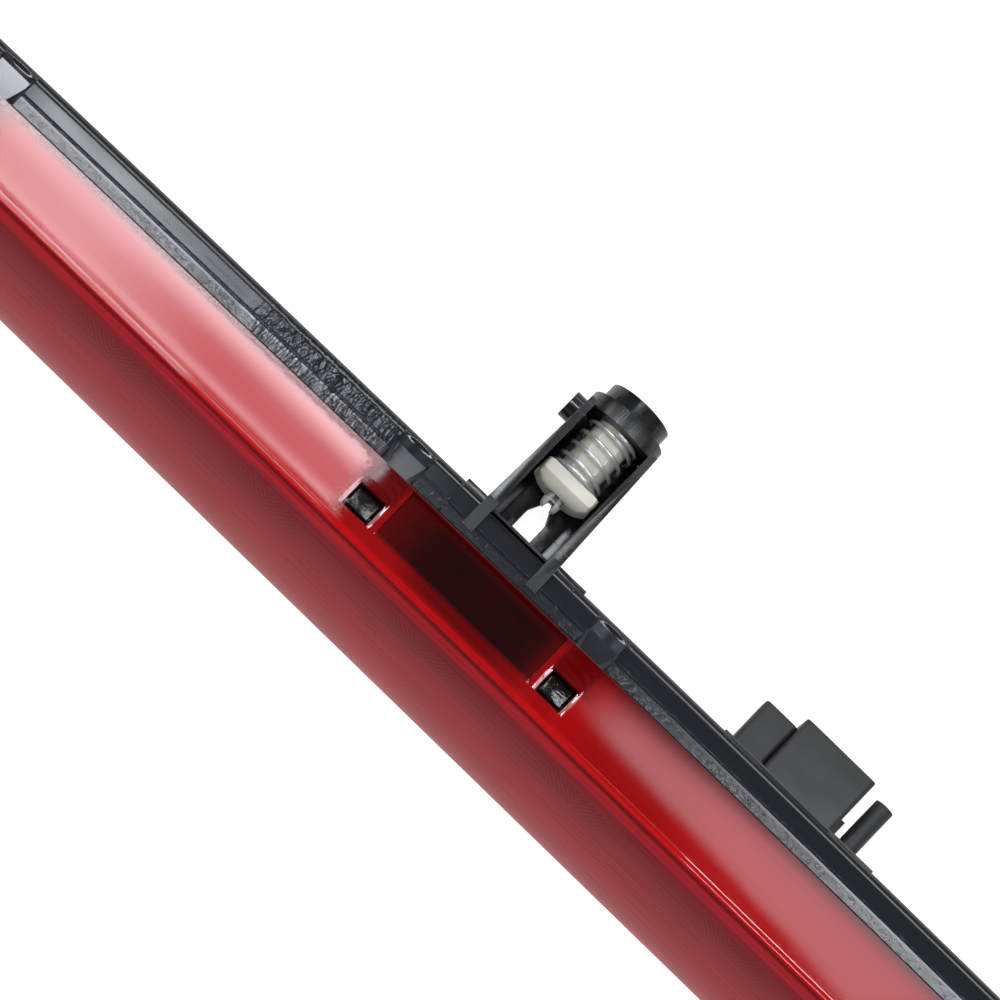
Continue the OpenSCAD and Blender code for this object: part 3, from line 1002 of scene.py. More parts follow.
@dataclass
class LampPlan:
    """What the lens and the housing share: the bow, the places of hooks and towers."""

    bow_r: float = 15600.0
    joint: float = -9.75
    hook_from_tower: float = 26.7
    hook_end: float = 222.9
    window: tuple[float, float] = (-22.5, -16.4)
    window_half: float = 3.4

    def __post_init__(self) -> None:
        """Reads the lamp's own box and the towers' places from the frame."""
        low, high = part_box("outer_lens")
        self.half_l = high.x / MM
        self.half_h = high.z / MM
        self.front = low.y / MM
        self.tower_x = -centre_of("left_spring")[0]

    def bow(self, x: Array) -> Array:
        """How far the housing has bowed forward at x: its square over twice the radius."""
        return x * x / (2 * self.bow_r)

    @property
    def towers(self) -> tuple[float, float]:
        """X of the left and of the right tower."""
        return -self.tower_x, self.tower_x

    @property
    def hooks(self) -> list[float]:
        """The places of the snap hooks.

        Returns:
            Each hook's X, from left to right.
        """
        near = [self.tower_x - self.hook_from_tower, self.tower_x + self.hook_from_tower]
        ends = [*near, self.hook_end]
        return sorted([-x for x in ends] + ends)


# ---------- Lens ----------


@dataclass
class LensShell:
    """The red lens: flat roof and floor, a domed front, windows, frames, beads and two panels."""

    plan: LampPlan
    wall: float = 2.2
    dome_r: float = 26.0
    dome_y: float = -14.0
    dome_z: float = -11.04
    plan_r: float = 16.0
    end_r: float = 5.0
    chin_r: float = 2.4
    bead_h: float = 0.2
    frame_rise: float = 0.19
    frame_run: float = 0.95
    panel_half: float = 21.2
    panel_front: float = -22.6
    panel_slope: float = 1.3 / 12.05
    lip: float = 0.5
    edge: float = 0.13
    # Where the painted shade over the middle of the roof starts along X, deepens towards the back in Y, and
    # deepens to the left in X.
    shade_x: tuple[float, float] = (-60.0, -48.0)
    shade_y: tuple[float, float] = (-15.5, -9.0)
    deeper_shade_x: tuple[float, float] = (-12.0, -35.0)

    def roof(self) -> float:
        """Height of the flat roof over the middle plane."""
        return self.plan.half_h - self.bead_h

    def x_stations(self) -> Array:
        """Places along the lamp: every edge of a window, frame or panel, and fine steps at the ends.

        Returns:
            The places in rising order.
        """
        plan = self.plan
        half = plan.window_half
        offsets = [half + self.frame_run * k / 6 for k in range(8)]
        marks = [h + s * o for h in plan.hooks for s in (-1, 1) for o in offsets]
        for t in plan.towers:
            sides = (self.panel_half, self.panel_half - self.edge, self.panel_half - 6)
            marks += [t + s * o for s in (-1, 1) for o in sides]
        tip = plan.half_l - self.plan_r
        round_end = tip + self.plan_r * np.sin(np.linspace(0, math.pi / 2, 22))
        marks += list(round_end) + list(-round_end)
        return stations(marks, 4.0)

    def top_ys(self) -> Array:
        """Places on the roof, from behind the windows to the ridge over the dome.

        Returns:
            The places in falling order.
        """
        front, back = self.plan.window
        rim = self.frame_run
        marks = [
            back + rim, back + rim * 0.67, back + rim * 0.33, back, front, front - rim * 0.33,
            front - rim * 0.67, front - rim, self.panel_front, self.panel_front + 0.15, -25.3,
        ]
        flat = stations(marks, 1.1)[::-1]
        ridge = np.array([-25.55, -25.75, -26.0, -26.3, -26.6, -26.85, -27.05, -27.2, -27.34])
        return np.concatenate([flat, ridge])

    def relief(self, x: Array, y: Array, top: bool) -> Array:
        """Height that frames, panels, beads and the rolled ridge add to the flat roof or floor.

        Args:
            x: Places along the lamp.
            y: Places from back to front.
            top: Whether this is the roof, which alone has panels.

        Returns:
            The height over the flat, negative where it is sunk.
        """
        front, back = self.plan.window
        rise = np.zeros(np.broadcast(x, y).shape)
        run = self.frame_run
        off_y = np.maximum(np.abs(y - (front + back) / 2) - (back - front) / 2, 0)
        bulge = 0.5 + 0.5 * np.clip(1 - ((2 * y - front - back) / (back - front + 1.5)) ** 2, 0, 1)
        for h in self.plan.hooks:
            off_x = np.maximum(np.abs(x - h) - self.plan.window_half, 0)
            rise = rise + self.frame_rise * smooth(np.hypot(off_x / bulge, off_y), run, 0)
        tip = self.plan.half_l - self.plan_r
        bead = smooth(np.abs(y + 26.45), 0.85, 0.15) * smooth(np.abs(x), tip + 4, tip - 2)
        rise = rise + self.bead_h * 0.98 * bead
        rise = rise - 0.16 * smooth(y, -27.0, -27.34)
        if top:
            lip = self.plan.joint - self.plan.bow(x) - self.lip
            depth = np.maximum(y - self.panel_front, 0) * self.panel_slope
            inside = smooth(y, lip, lip - self.edge)
            for t in self.plan.towers:
                rise = rise - depth * inside * plateau(x, t, self.panel_half, self.edge)
        return rise

    def grid(self, inset: float) -> tuple[Array, Array, Array]:
        """One side of the wall as a grid, from the roof's back edge over the front to the floor's.

        The section at each X is a flat, an arc about the dome's centre, a small arc at the chin and
        a flat, cut to the round plan and to the round end. The last rows close the end walls.

        Args:
            inset: Distance inside the outer surface.

        Returns:
            The grid of points, its X stations with the closing rows, and each column's own Y.
        """
        xs = self.x_stations()
        plan = self.plan
        roof = self.roof()
        outer_ys = self.top_ys()
        steps = np.array([0.0, 0.24, 1.0, 1.26]) * self.lip
        bowed = (plan.joint - plan.bow(xs))[:, None] - steps[None, :]
        first = bowed[:, -1:]
        lead = first + (outer_ys[0] - first) * np.linspace(0, 1, 6)[None, 1:-1]
        rest = np.repeat(outer_ys[None, :], len(xs), 0)
        ys = np.concatenate([bowed, lead, rest], 1)
        # Arc of the dome, then of the chin
        radius = self.dome_r - inset
        ridge_y = self.dome_y - math.sqrt(radius**2 - (roof - inset - self.dome_z) ** 2)
        if inset:
            shrink = (ridge_y - plan.window[0]) / (outer_ys[-1] - plan.window[0])
            ys = np.where(ys < plan.window[0], plan.window[0] + (ys - plan.window[0]) * shrink, ys)
        start = math.degrees(math.asin((roof - inset - self.dome_z) / radius))
        chin = max(self.chin_r - inset, 0.25)
        chin_z = -roof + inset + chin
        end = math.degrees(math.asin((chin_z - self.dome_z) / radius))
        dome = arc((self.dome_y, self.dome_z), radius, 180 - start + 0.25, 180 - end, 44)
        chin_y = dome[-1, 0] + chin
        curl = arc((chin_y, chin_z), chin, 180, 270, 9)[1:]
        front = np.concatenate([dome, curl])
        floor_ys = np.concatenate([
            np.linspace(chin_y, -27.6, 10)[1:-1], np.clip(self.top_ys()[::-1], ridge_y, None)])
        floor = np.concatenate([np.repeat(floor_ys[None, :], len(xs), 0), lead[:, ::-1], bowed[:, ::-1]], 1)
        top = np.repeat(xs[:, None], ys.shape[1], 1)
        low = np.repeat(xs[:, None], floor.shape[1], 1)
        lift = 0.0 if inset else 1.0
        top_z = roof - inset + lift * self.relief(top, ys, True)
        floor_z = -(roof - inset + lift * self.relief(low, floor, False))
        if not inset:
            top_z[:, 0] -= 0.1
            floor_z[:, -1] += 0.1
        count = len(xs)
        y = np.concatenate([ys, np.repeat(front[None, :, 0], count, 0), floor], 1)
        z = np.concatenate([top_z, np.repeat(front[None, :, 1], count, 0), floor_z], 1)
        return self.cut_ends(xs, y, z, inset)

    def cut_ends(self, xs: Array, y: Array, z: Array, inset: float) -> tuple[Array, Array, Array]:
        """Rounds the ends in plan and in height, then closes them with flat walls.

        Args:
            xs: The X stations.
            y: Y of each point of each section.
            z: Z of each point.
            inset: Distance inside the outer surface.

        Returns:
            The grid of points, its X with the closing rows, and each column's Y before the cut.
        """
        plan = self.plan
        tip = plan.half_l - self.plan_r
        past = np.clip(np.abs(xs) - tip, 0, None)
        squeeze = (self.plan_r - inset) / self.plan_r
        x = np.where(past > 0, np.sign(xs) * (tip + past * squeeze), xs)
        out = np.clip(np.abs(x) - tip, 0, self.plan_r - inset)
        nose = plan.front + self.plan_r - np.sqrt((self.plan_r - inset) ** 2 - out**2)
        nose = np.where(past > 0, nose, plan.front - 5)
        fillet = 0.9 * smooth(past, 0, 5)[:, None]
        ends = plan.half_l - self.end_r
        up = np.clip(np.abs(x) - ends, 0, self.end_r - inset)
        limit = self.roof() - self.end_r + np.sqrt((self.end_r - inset) ** 2 - up**2)
        limit = limit + self.bead_h * (up == 0)
        raw = y
        y = round_max(y, nose[:, None], fillet)
        z = np.clip(z, -limit[:, None], limit[:, None])
        grid = np.stack([np.repeat(x[:, None], y.shape[1], 1), y, z], -1)
        back = (plan.joint - plan.bow(x))[:, None]
        walls = []
        for k in (0, -1):
            edge = grid[k]
            line = np.stack([edge[:, 0], np.repeat(back[k], len(edge)), edge[:, 2]], -1)
            walls.append(np.stack([edge + (line - edge) * t for t in (1, 0.75, 0.5, 0.25)]))
        grid = np.concatenate([walls[0], grid, walls[1][::-1]])
        xs = np.concatenate([np.repeat(xs[0], 4), xs, np.repeat(xs[-1], 4)])
        raw = np.concatenate([raw[:1]] * 4 + [raw] + [raw[-1:]] * 4)
        return grid, xs, raw

    def tint(self, points: Array) -> tuple[Array, Array, Array]:
        """Zones of colour over the lens, painted shade, a painted highlight line and a painted inner glow
        among them, with the strength of its inner optics and of its haze.

        Args:
            points: The mesh's points in millimetres.

        Returns:
            Colour by point, then optics and haze by point from 0 to 1.
        """
        x, y, z = points.T
        bright = np.array([0.62, 0.007, 0.009])
        crimson = np.array([0.26, 0.010, 0.017])
        rosy = np.array([0.44, 0.011, 0.019])
        line = np.array([0.52, 0.014, 0.024])
        crease = np.array([0.19, 0.003, 0.006])
        sunk = np.array([0.012, 0.0025, 0.003])
        shade_red = np.array([0.12, 0.002, 0.003])
        inner_glow = np.array([0.11, 0.003, 0.004])
        colour = np.repeat(bright[None, :], len(points), 0)

        def toward(share: Array, target: Array) -> None:
            """Changes the colour towards target by share."""
            colour[:] += share[:, None] * (target - colour)

        upper = smooth(z, 6.0, 9.0)
        dome = smooth(y, -27.3, -27.6)
        # Painted shade: a dark line along the crease between the roof and the dome.
        toward(smooth(y, -26.8, -27.05), crease)
        # Painted highlight: a brighter red line just below the crease.
        toward(smooth(y, -27.5, -27.85), line)
        toward(dome * smooth(y, -29.0, -29.55), crimson)
        toward(dome * smooth(y, -30.5, -39.0), rosy)
        back = self.plan.joint - self.plan.bow(x)
        for t in self.plan.towers:
            # Painted shade over the roof round each tower, behind the ridge, deepest near the tower.
            wide = plateau(x, t, self.plan.hook_from_tower + 6, 5.0) * upper
            toward(wide * smooth(y, -25.7, -25.0) * 0.45, shade_red)
            core = plateau(x, t + 3, 20.0, 12.0) * upper
            toward(core * smooth(y, -25.7, -24.6) * 0.8, shade_red)
            # Painted shade: the sunk panel over each tower is near black.
            hidden = plateau(x, t, self.panel_half + 0.05, 0.3) * upper
            toward(hidden * smooth(y, self.panel_front - 0.2, self.panel_front + 0.9), sunk)
            # Painted light: the panel glows red towards its left end, and a little at its right one, as from
            # light inside the lamp, with faint streaks of the same glow across it.
            glow_ends = smooth(x, t - 8, t - 20) * 0.8 + 0.3 * smooth(x, t + 16, t + 20.5)
            toward(hidden * glow_ends * smooth(y, self.panel_front, self.panel_front + 1), inner_glow)
            streaks = 0.5 + 0.5 * np.sin(x * 3.1 + 0.6 * np.sin(y * 1.7)) * np.sin(x * 1.3 + 2)
            toward(hidden * 0.16 * streaks, inner_glow)
        for h in self.plan.hooks:
            # Painted shade on the roof behind each window, where the hook tabs lie under the wall.
            tab = plateau(x, h + 0.3, 5.2, 1.6) * upper * smooth(y, -17.0, -16.2)
            toward(tab * 0.85 * (0.85 + 0.15 * np.sin(x * 5 + y * 3)), shade_red * 0.6)
        # Painted shade over the middle of the roof, from beside the left tower to past the right one, deeper
        # on its left and towards the back.
        past = smooth(x, *self.shade_x) * smooth(x, 2 * self.plan.tower_x, self.plan.tower_x)
        deeper = 0.2 + 0.2 * smooth(x, *self.deeper_shade_x) + 0.4 * smooth(y, *self.shade_y)
        toward(upper * past * deeper * smooth(y, -26.2, -25.0), shade_red)
        # Painted shadow: a dark strip along the roof's back edge, where it meets the housing.
        toward(upper * smooth(y, back - 2.6, back - 0.5) * 0.72, shade_red)
        optic = dome * smooth(z, -10, -7) * (0.45 + 0.55 * smooth(np.abs(y + 31.9), 1.7, 1.0))
        left = smooth(x, -self.plan.tower_x - self.plan.hook_from_tower, -self.plan.tower_x - 40)
        haze = upper * smooth(y, back - 2.4, back - 0.3) * left
        for h in self.plan.hooks:
            beside = smooth(x, h - 6.5, h - 3.6) * smooth(x, h - 0.5, h - 2.5) * smooth(y, -25.2, -24.2)
            haze = haze + upper * beside * (x < -self.plan.tower_x) * 0.8
        return colour, optic, np.clip(haze, 0, 1)

    def build(self) -> bpy.types.Object:
        """Makes the lens, with its colour zones, painted shade and painted light among them, stored on its
        points, and dresses it.

        Returns:
            The lens.
        """
        outer, xs, raw = self.grid(0.0)
        inner, _, _ = self.grid(self.wall)
        mid_x = (xs[1:] + xs[:-1]) / 2
        mid_y = (raw[:-1, 1:] + raw[1:, :-1]) / 2
        flat = np.abs(outer[:-1, :-1, 2] + outer[1:, 1:, 2]) / 2 > self.roof() - 0.5
        front, back = self.plan.window
        hole = flat & (mid_y < back) & (mid_y > front)
        near = np.min(np.abs(mid_x[:, None] - np.array(self.plan.hooks)[None, :]), 1)
        hole &= (near < self.plan.window_half)[:, None]
        steps = np.linalg.norm(np.diff(outer, axis=1), axis=2)
        run = np.concatenate([np.zeros((len(outer), 1)), np.cumsum(steps, 1)], 1)
        uv = np.stack([outer[..., 0], run], -1)
        obj = Solid().shell(outer, inner, ~hole, uv).finish("lens_shell", sharp=28)
        count = len(obj.data.vertices)
        where = np.zeros(count * 3, np.float32)
        obj.data.vertices.foreach_get("co", where)
        colour, optic, haze = self.tint(where.reshape(-1, 3) / MM)
        full = np.concatenate([colour, np.ones((count, 1))], 1).astype(np.float32)
        obj.data.attributes.new("tint", "FLOAT_COLOR", "POINT").data.foreach_set("color", full.ravel())
        for name, values in (("optic", optic), ("haze", haze)):
            data = obj.data.attributes.new(name, "FLOAT", "POINT").data
            data.foreach_set("value", values.astype(np.float32))
        return place_piece(obj, Body.LAMP, RED_LENS, "outer_lens")


# ---------- Housing ----------


@dataclass
class HousingTray:
    """The bowed black housing: a sloping band, a groove, ribs, scooped pockets, tongue and hooks."""

    plan: LampPlan
    wall: float = 1.8
    shoulder: float = -9.4
    front_z: float = 10.2
    back_z: float = 8.9
    slope_end: float = -2.0
    rim: float = -0.35
    cavity: float = -4.3
    groove: tuple[float, float, float] = (-6.9, 0.3, 0.45)
    roll: tuple[float, float] = (-2.8, 0.17)
    rib_from_hook: float = 4.1
    rib_rise: float = 0.34
    rib_half: float = 0.3
    scoop_r: float = 13.0
    notch: tuple[float, float, float] = (7.5, -2.9, 4.0)
    end_r: float = 5.0
    end_gap: float = 0.1
    cheek_rib: float = 15.2
    rib_edge: float = 0.12
    scoop_depth: float = 1.5
    scoop_tilt: float = 0.07
    tongue_z: float = 8.95
    tongue_y: tuple[float, float] = (-16.0, -5.0)
    tongue_gap: float = 2.35
    screws: tuple[float, ...] = (-4.5, -1.5, 1.5, 4.5)

    def x_stations(self) -> Array:
        """Places along the lamp: both sides of every rib and notch, and fine steps at the ends.

        Returns:
            The places in rising order.
        """
        marks: list[float] = []
        inner = self.rib_half - self.rib_edge
        sides = (-self.rib_half, -inner, inner, self.rib_half)
        for h in self.plan.hooks:
            for s in (-1, 1):
                marks += [h + s * self.rib_from_hook + o for o in sides]
            marks += list(h + np.linspace(-3.6, 3.6, 15))
        for t in self.plan.towers:
            half = self.notch[0]
            marks += [t + s * o for s in (-1, 1) for o in (half, half - 0.1, half - 0.2)]
            marks += [t + s * (self.cheek_rib + o) for s in (-1, 1) for o in sides]
        tip = self.plan.half_l - self.end_gap - self.end_r
        curve = tip + self.end_r * np.sin(np.linspace(0, math.pi / 2, 12))
        return stations(marks + list(curve) + list(-curve), 3.5)

    def top_points(self) -> tuple[Array, Array]:
        """The band's upper half, from the shoulder to the middle of the back.

        Returns:
            Y before the bow, and Z.
        """
        at, half, deep = self.groove
        slope = (self.front_z - self.back_z) / (self.slope_end - at)
        ys = [self.shoulder, self.shoulder + 0.12, self.shoulder + 0.7, at - 1, at - half - 0.05,
              at - half + 0.05, at + half - 0.05, at + half + 0.05]
        top = self.front_z
        zs = [top - 0.12, top, top, top, top, top - deep, top - deep, top - slope * (half + 0.05)]
        start = self.notch[1]
        roll_y, bend = self.roll
        run = np.concatenate([
            np.linspace(at + half + 0.05, start - 0.1, 8)[1:],
            [start + 0.02, start + 0.14, -2.5, -2.2, -1.9, -1.6, -1.3, -1.05]])
        line = top - slope * (run - at) - bend * np.clip(run - roll_y, 0, None) ** 2
        curl = [[-0.8, 7.88], [-0.6, 7.62], [-0.45, 7.3], [-0.37, 6.95], [self.rim, 6.6]]
        down = np.linspace(6.0, 0.4, 6)
        y = np.concatenate([ys, run, np.array(curl)[:, 0], np.full(len(down), self.rim)])
        z = np.concatenate([zs, line, np.array(curl)[:, 1], down])
        return y, z

    def shape(self, x: Array, y: Array, z: Array) -> Array:
        """Adds ribs and cuts scoops and notches in the upper band.

        Args:
            x: Places along the lamp.
            y: Places from front to back, before the bow.
            z: Height of the plain band there.

        Returns:
            The new heights. A scoop is a trough of scoop_r whose axis rises a little to the front.
        """
        on_band = smooth(y, self.shoulder + 0.1, self.shoulder + 0.5) * smooth(y, -1.5, -2.1)
        for h in self.plan.hooks:
            dip = self.front_z + self.scoop_r - self.scoop_depth - (y - self.shoulder) * self.scoop_tilt
            reach = np.clip(self.scoop_r**2 - (x - h) ** 2, 0, None)
            trough = dip - np.sqrt(reach)
            inside = plateau(x, h, self.rib_from_hook, 0.25) * smooth(y, -1.3, -2.2)
            z = z + inside * np.minimum(trough - z, 0)
            for s in (-1, 1):
                z = z + self.rib_rise * on_band * self.rib(x, h + s * self.rib_from_hook)
        for t in self.plan.towers:
            for s in (-1, 1):
                z = z + self.rib_rise * on_band * self.rib(x, t + s * self.cheek_rib)
        return z

    def rib(self, x: Array, at: float) -> Array:
        """One across the rib that stands at a place, and zero beside it."""
        return plateau(x, at, self.rib_half, self.rib_edge)

    def cut(self, x: Array, y: Array, z: Array) -> Array:
        """Lowers the top behind each tower's notch to the notch's floor.

        Args:
            x: Places along the lamp.
            y: Places from front to back, before the bow.
            z: Height there.

        Returns:
            The new heights.
        """
        half, start, floor = self.notch
        for t in self.plan.towers:
            inside = plateau(x, t, half, 0.1) * smooth(y, start, start + 0.12)
            z = z + inside * np.minimum(floor - z, 0)
        return z

    def grid(self, inner: bool) -> Array:
        """One side of the tray's wall, from the upper front edge round the back to the lower one.

        Args:
            inner: Whether this is the inside, whose back is the cavity's.

        Returns:
            Grid of points, with rows that close the ends.
        """
        xs = self.x_stations()
        y, z = self.top_points()
        x = np.repeat(xs[:, None], len(y), 1)
        flat_y = np.repeat(y[None, :], len(xs), 0)
        if inner:
            share = np.clip((flat_y - self.shoulder) / (self.slope_end - self.shoulder), 0, 1)
            ys = self.shoulder + share * (self.cavity - self.shoulder)
            top = self.front_z - self.wall + share * (self.back_z - self.front_z)
            zs = np.where(flat_y > -1.5, np.minimum(z[None, :], top), top)
            upper = lower = zs
        else:
            ys = flat_y
            shaped = self.shape(x, flat_y, z[None, :] + 0 * x)
            upper = self.cut(x, flat_y, shaped)
            lower = shaped
        y_all = np.concatenate([ys, ys[:, ::-1]], 1) - self.plan.bow(xs)[:, None]
        z_all = np.concatenate([upper, -lower[:, ::-1]], 1)
        half_l = self.plan.half_l - self.end_gap
        inset = self.wall if inner else 0.0
        tip = half_l - self.end_r
        past = np.clip(np.abs(xs) - tip, 0, None)
        squeeze = (self.end_r - inset) / self.end_r
        x_cut = np.where(past > 0, np.sign(xs) * (tip + past * squeeze), xs)
        out = np.clip(np.abs(x_cut) - tip, 0, self.end_r - inset)
        limit = self.front_z + 0.15 - self.end_r + np.sqrt((self.end_r - inset) ** 2 - out**2)
        limit = np.where(past > 0, limit, self.front_z + 2)
        z_all = np.clip(z_all, -limit[:, None], limit[:, None])
        grid = np.stack([np.repeat(x_cut[:, None], y_all.shape[1], 1), y_all, z_all], -1)
        line = [grid[k] * (1, 0, 1) + np.array([0, grid[k, 0, 1], 0]) for k in (0, -1)]
        first = np.stack([line[0] + (grid[0] - line[0]) * t for t in (0, 0.34, 0.67)])
        last = np.stack([grid[-1] + (line[1] - grid[-1]) * t for t in (0.33, 0.66, 1)])
        return np.concatenate([first, grid, last])

    def tongue(self, solid: Solid) -> None:
        """A wall round the inside of the lens: a long rounded loop, extruded towards the front.

        Args:
            solid: The solid that it is added to.
        """
        half_x = self.plan.half_l - self.tongue_gap
        radius = 2.8
        far_x, far_z = half_x - radius, self.tongue_z - radius
        corners = [(far_x, far_z), (-far_x, far_z), (-far_x, -far_z), (far_x, -far_z)]
        loops = []
        for inset in (0.0, self.wall):
            arcs = [arc(c, max(radius - inset, 0.8) + min(radius - inset - 0.8, 0), 90 * k, 90 * k + 90, 7)
                    for k, c in enumerate(corners)]
            loops.append(np.concatenate(arcs))
        front, back = self.tongue_y
        section = [(0, front + 0.15), (0.08, front), (0.92, front), (1, front + 0.15), (1, back), (0, back)]
        rings = []
        for share, y in section:
            xz = loops[0] + (loops[1] - loops[0]) * share
            rings.append(np.stack([xz[:, 0], np.full(len(xz), y), xz[:, 1]], -1))
        solid.tube(np.stack(rings, 1), closed=True)

    def hooks(self, solid: Solid) -> None:
        """Twelve snap hooks: a tab in front of the tongue, and a catch that stands in its window.

        Args:
            solid: The solid that they are added to.
        """
        half = 2.8
        for h in self.plan.hooks:
            for s in (-1, 1):
                tab = sorted((s * (self.tongue_z - self.wall), s * (self.tongue_z - 0.3)))
                catch = sorted((s * (self.tongue_z - self.wall), s * (self.front_z + 0.05)))
                solid.block((h - half, -22.2, tab[0]), (h + half, -15.4, tab[1]), 0.2)
                solid.block((h - half, -21.6, catch[0]), (h + half, -17.6, catch[1]), 0.25)

    def marks(self, solid: Solid) -> None:
        """A small moulded ring in each upper pocket, left by an ejector pin.

        Args:
            solid: The solid that they are added to.
        """
        turn = np.linspace(0, 2 * math.pi, 20, endpoint=False)
        thick = np.linspace(0, 2 * math.pi, 6, endpoint=False)
        for h in self.plan.hooks:
            y0 = -5.6 - float(self.plan.bow(np.array(h)))
            radius = 0.55 + 0.1 * np.cos(thick)
            floor = self.front_z - self.scoop_depth - (y0 - self.shoulder) * self.scoop_tilt
            z = floor + 0.07 * np.sin(thick)
            ring = np.stack([
                h + radius[None, :] * np.cos(turn)[:, None],
                y0 + radius[None, :] * np.sin(turn)[:, None],
                np.repeat(z[None, :], len(turn), 0),
            ], -1)
            solid.tube(ring, closed=True)

    def bosses(self, solid: Solid) -> None:
        """Four bored posts that the board's screws bite into.

        Args:
            solid: The solid that they are added to.
        """
        profile = np.array([
            [-4.0, 3.0], [-13.8, 2.8], [-14.0, 2.6], [-14.0, 1.5], [-13.8, 1.35], [-4.0, 1.35]])
        for k in self.screws:
            solid.lathe((k * LIGHT_PITCH, 0), profile, 32)

    def build(self) -> bpy.types.Object:
        """Makes the housing and dresses it.

        Returns:
            The housing.
        """
        outer = self.grid(False)
        inner = self.grid(True)
        keep = np.ones((outer.shape[0] - 1, outer.shape[1] - 1), bool)
        solid = Solid().shell(outer, inner, keep)
        self.tongue(solid)
        self.hooks(solid)
        self.marks(solid)
        self.bosses(solid)
        return place_piece(solid.finish("housing_tray", sharp=30), Body.LAMP, BLACK_HOUSING, "housing")


# ---------- Tower, plunger and spring ----------


@dataclass
class SpringTower:
    """One tower and what slides in it: the plunger, the spring round it and the grommet in it."""

    side: Side
    wire_r: float = 0.45
    turns: float = 5.25
    closed_turns: float = 0.9
    spring_r: float = 5.65
    keep: float = 0.43
    collar_y: float = 29.0
    flat: float = 4.95
    half: float = 6.7
    full: float = 6.85
    fuller: float = 1.1
    stop_r: float = 5.8
    stop_y: float = 1.85
    shaft_flat: float = 3.9

    def __post_init__(self) -> None:
        """Reads the tower's place and its parts' lengths from the frame."""
        self.x, self.z = centre_of(f"{self.side.word}_spring")
        self.flange = deepest(f"{self.side.word}_plunger")
        self.coil = deepest(f"{self.side.word}_spring")
        self.tip = deepest(f"{self.side.word}_grommet")

    def tower(self) -> bpy.types.Object:
        """The tower's walls, collar, tube and foot, with every edge rounded.

        Returns:
            The tower.
        """
        node = f"{self.side.word}_spring_tower"
        obj = node_copy(node, f"{self.side.word}_tower_frame", bevel=0.16)
        return place_piece(obj, Body.LAMP, BLACK_TOWER, node)

    def plunger(self) -> bpy.types.Object:
        """The ivory plunger: a flange that is a slab above the axis, and a shaft with flats.

        Returns:
            The plunger. The flange has straight sides and a flat top that slopes down to the front.
            Below the axis it is round, and in front it clears the tower's stop legs.
        """
        sides = 144
        t = np.linspace(0, 2 * math.pi, sides, endpoint=False)
        up = np.sin(t)[None, :]
        y0 = self.flange[0]
        nose = np.array([
            [0, 2.6], [0, 4.9], [0.06, 5.3], [0.25, 5.75], [0.55, 6.05], [0.95, 6.3], [1.35, 6.45],
            [1.75, 6.52], [1.9, 6.56], [2.08, 6.66], [2.35, 6.82], [2.7, 6.85], [4.1, 6.85], [4.4, 6.8],
            [4.52, 6.62], [4.55, 6.4], [4.55, 2.6]])
        slope = np.array([
            [0, 2.7], [0.12, 2.25], [0.4, 1.75], [0.8, 1.25], [1.3, 0.72], [1.8, 0.22], [2.05, 0]])
        drop = np.interp(nose[:, :1], slope[:, 0], slope[:, 1])
        top = (self.flat - drop) / np.maximum(up, TINY)
        slab = np.minimum(top, self.half / np.maximum(np.abs(np.cos(t)), TINY))
        clear = np.where(nose[:, :1] < self.stop_y, self.stop_r, NO_LIMIT)
        limit = np.where(up > 0, slab, np.where(up < -0.25, clear, NO_LIMIT))
        nose[1:-1, 1] += self.fuller * smooth(nose[1:-1, 1], 5.9, 6.5)
        limit = np.where(up > 0, limit, np.minimum(limit, self.full))
        solid = Solid().lathe((self.x, self.z), nose + (y0, 0), sides, limit.T)
        end = self.flange[1]
        shaft = np.array([
            [y0 + 4.4, 2.6], [y0 + 4.4, 4.55], [26.2, 4.55], [end - 0.5, 4.5], [end - 0.1, 4.3], [end, 4.1],
            [end, 3.5], [end - 0.2, 3.4], [26.0, 3.4], [26.0, 2.6]])
        across = np.maximum(np.abs(np.sin(t)), TINY)
        solid.lathe((self.x, self.z), shaft, sides, np.minimum(self.shaft_flat / across, NO_LIMIT))
        obj = solid.finish(f"{self.side.word}_plunger_body", sharp=24)
        return place_piece(obj, self.side.body, IVORY, f"{self.side.word}_plunger")

    def spring(self) -> bpy.types.Object:
        """The coil spring: a round wire swept along a helix whose end turns lie flat.

        Returns:
            The spring, with a mesh of its own. It rides on the lamp.
        """
        wire = self.wire_r
        low = self.coil[0] + wire
        high = self.coil[1] - wire
        t = np.linspace(0, self.turns, int(self.turns * 72) + 1)
        lie = wire * 2.1
        knots_t = [0, self.closed_turns, self.turns - self.closed_turns, self.turns]
        y = np.interp(t, knots_t, [low, low + lie, high - lie, high])
        y = np.convolve(np.pad(y, 9, mode="edge"), np.full(19, 1 / 19), "valid")
        y = y + (low - y[0]) * (1 - t / self.turns) + (high - y[-1]) * (t / self.turns)
        a = 2 * math.pi * t
        b = np.linspace(0, 2 * math.pi, 14, endpoint=False)
        out = self.spring_r + wire * np.cos(b)[None, :]
        rings = np.stack([
            self.x + out * np.cos(a)[:, None],
            y[:, None] + wire * np.sin(b)[None, :],
            self.z + out * np.sin(a)[:, None],
        ], -1)
        uv = np.stack(np.broadcast_arrays(b[None, :] / 6.3, t[:, None] * 10), -1)
        obj = Solid().tube(rings, uv=uv).finish(f"{self.side.word}_coil_spring", sharp=50)
        place_piece(obj, Body.LAMP, SPRING_STEEL, f"{self.side.word}_spring")
        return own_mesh(obj)

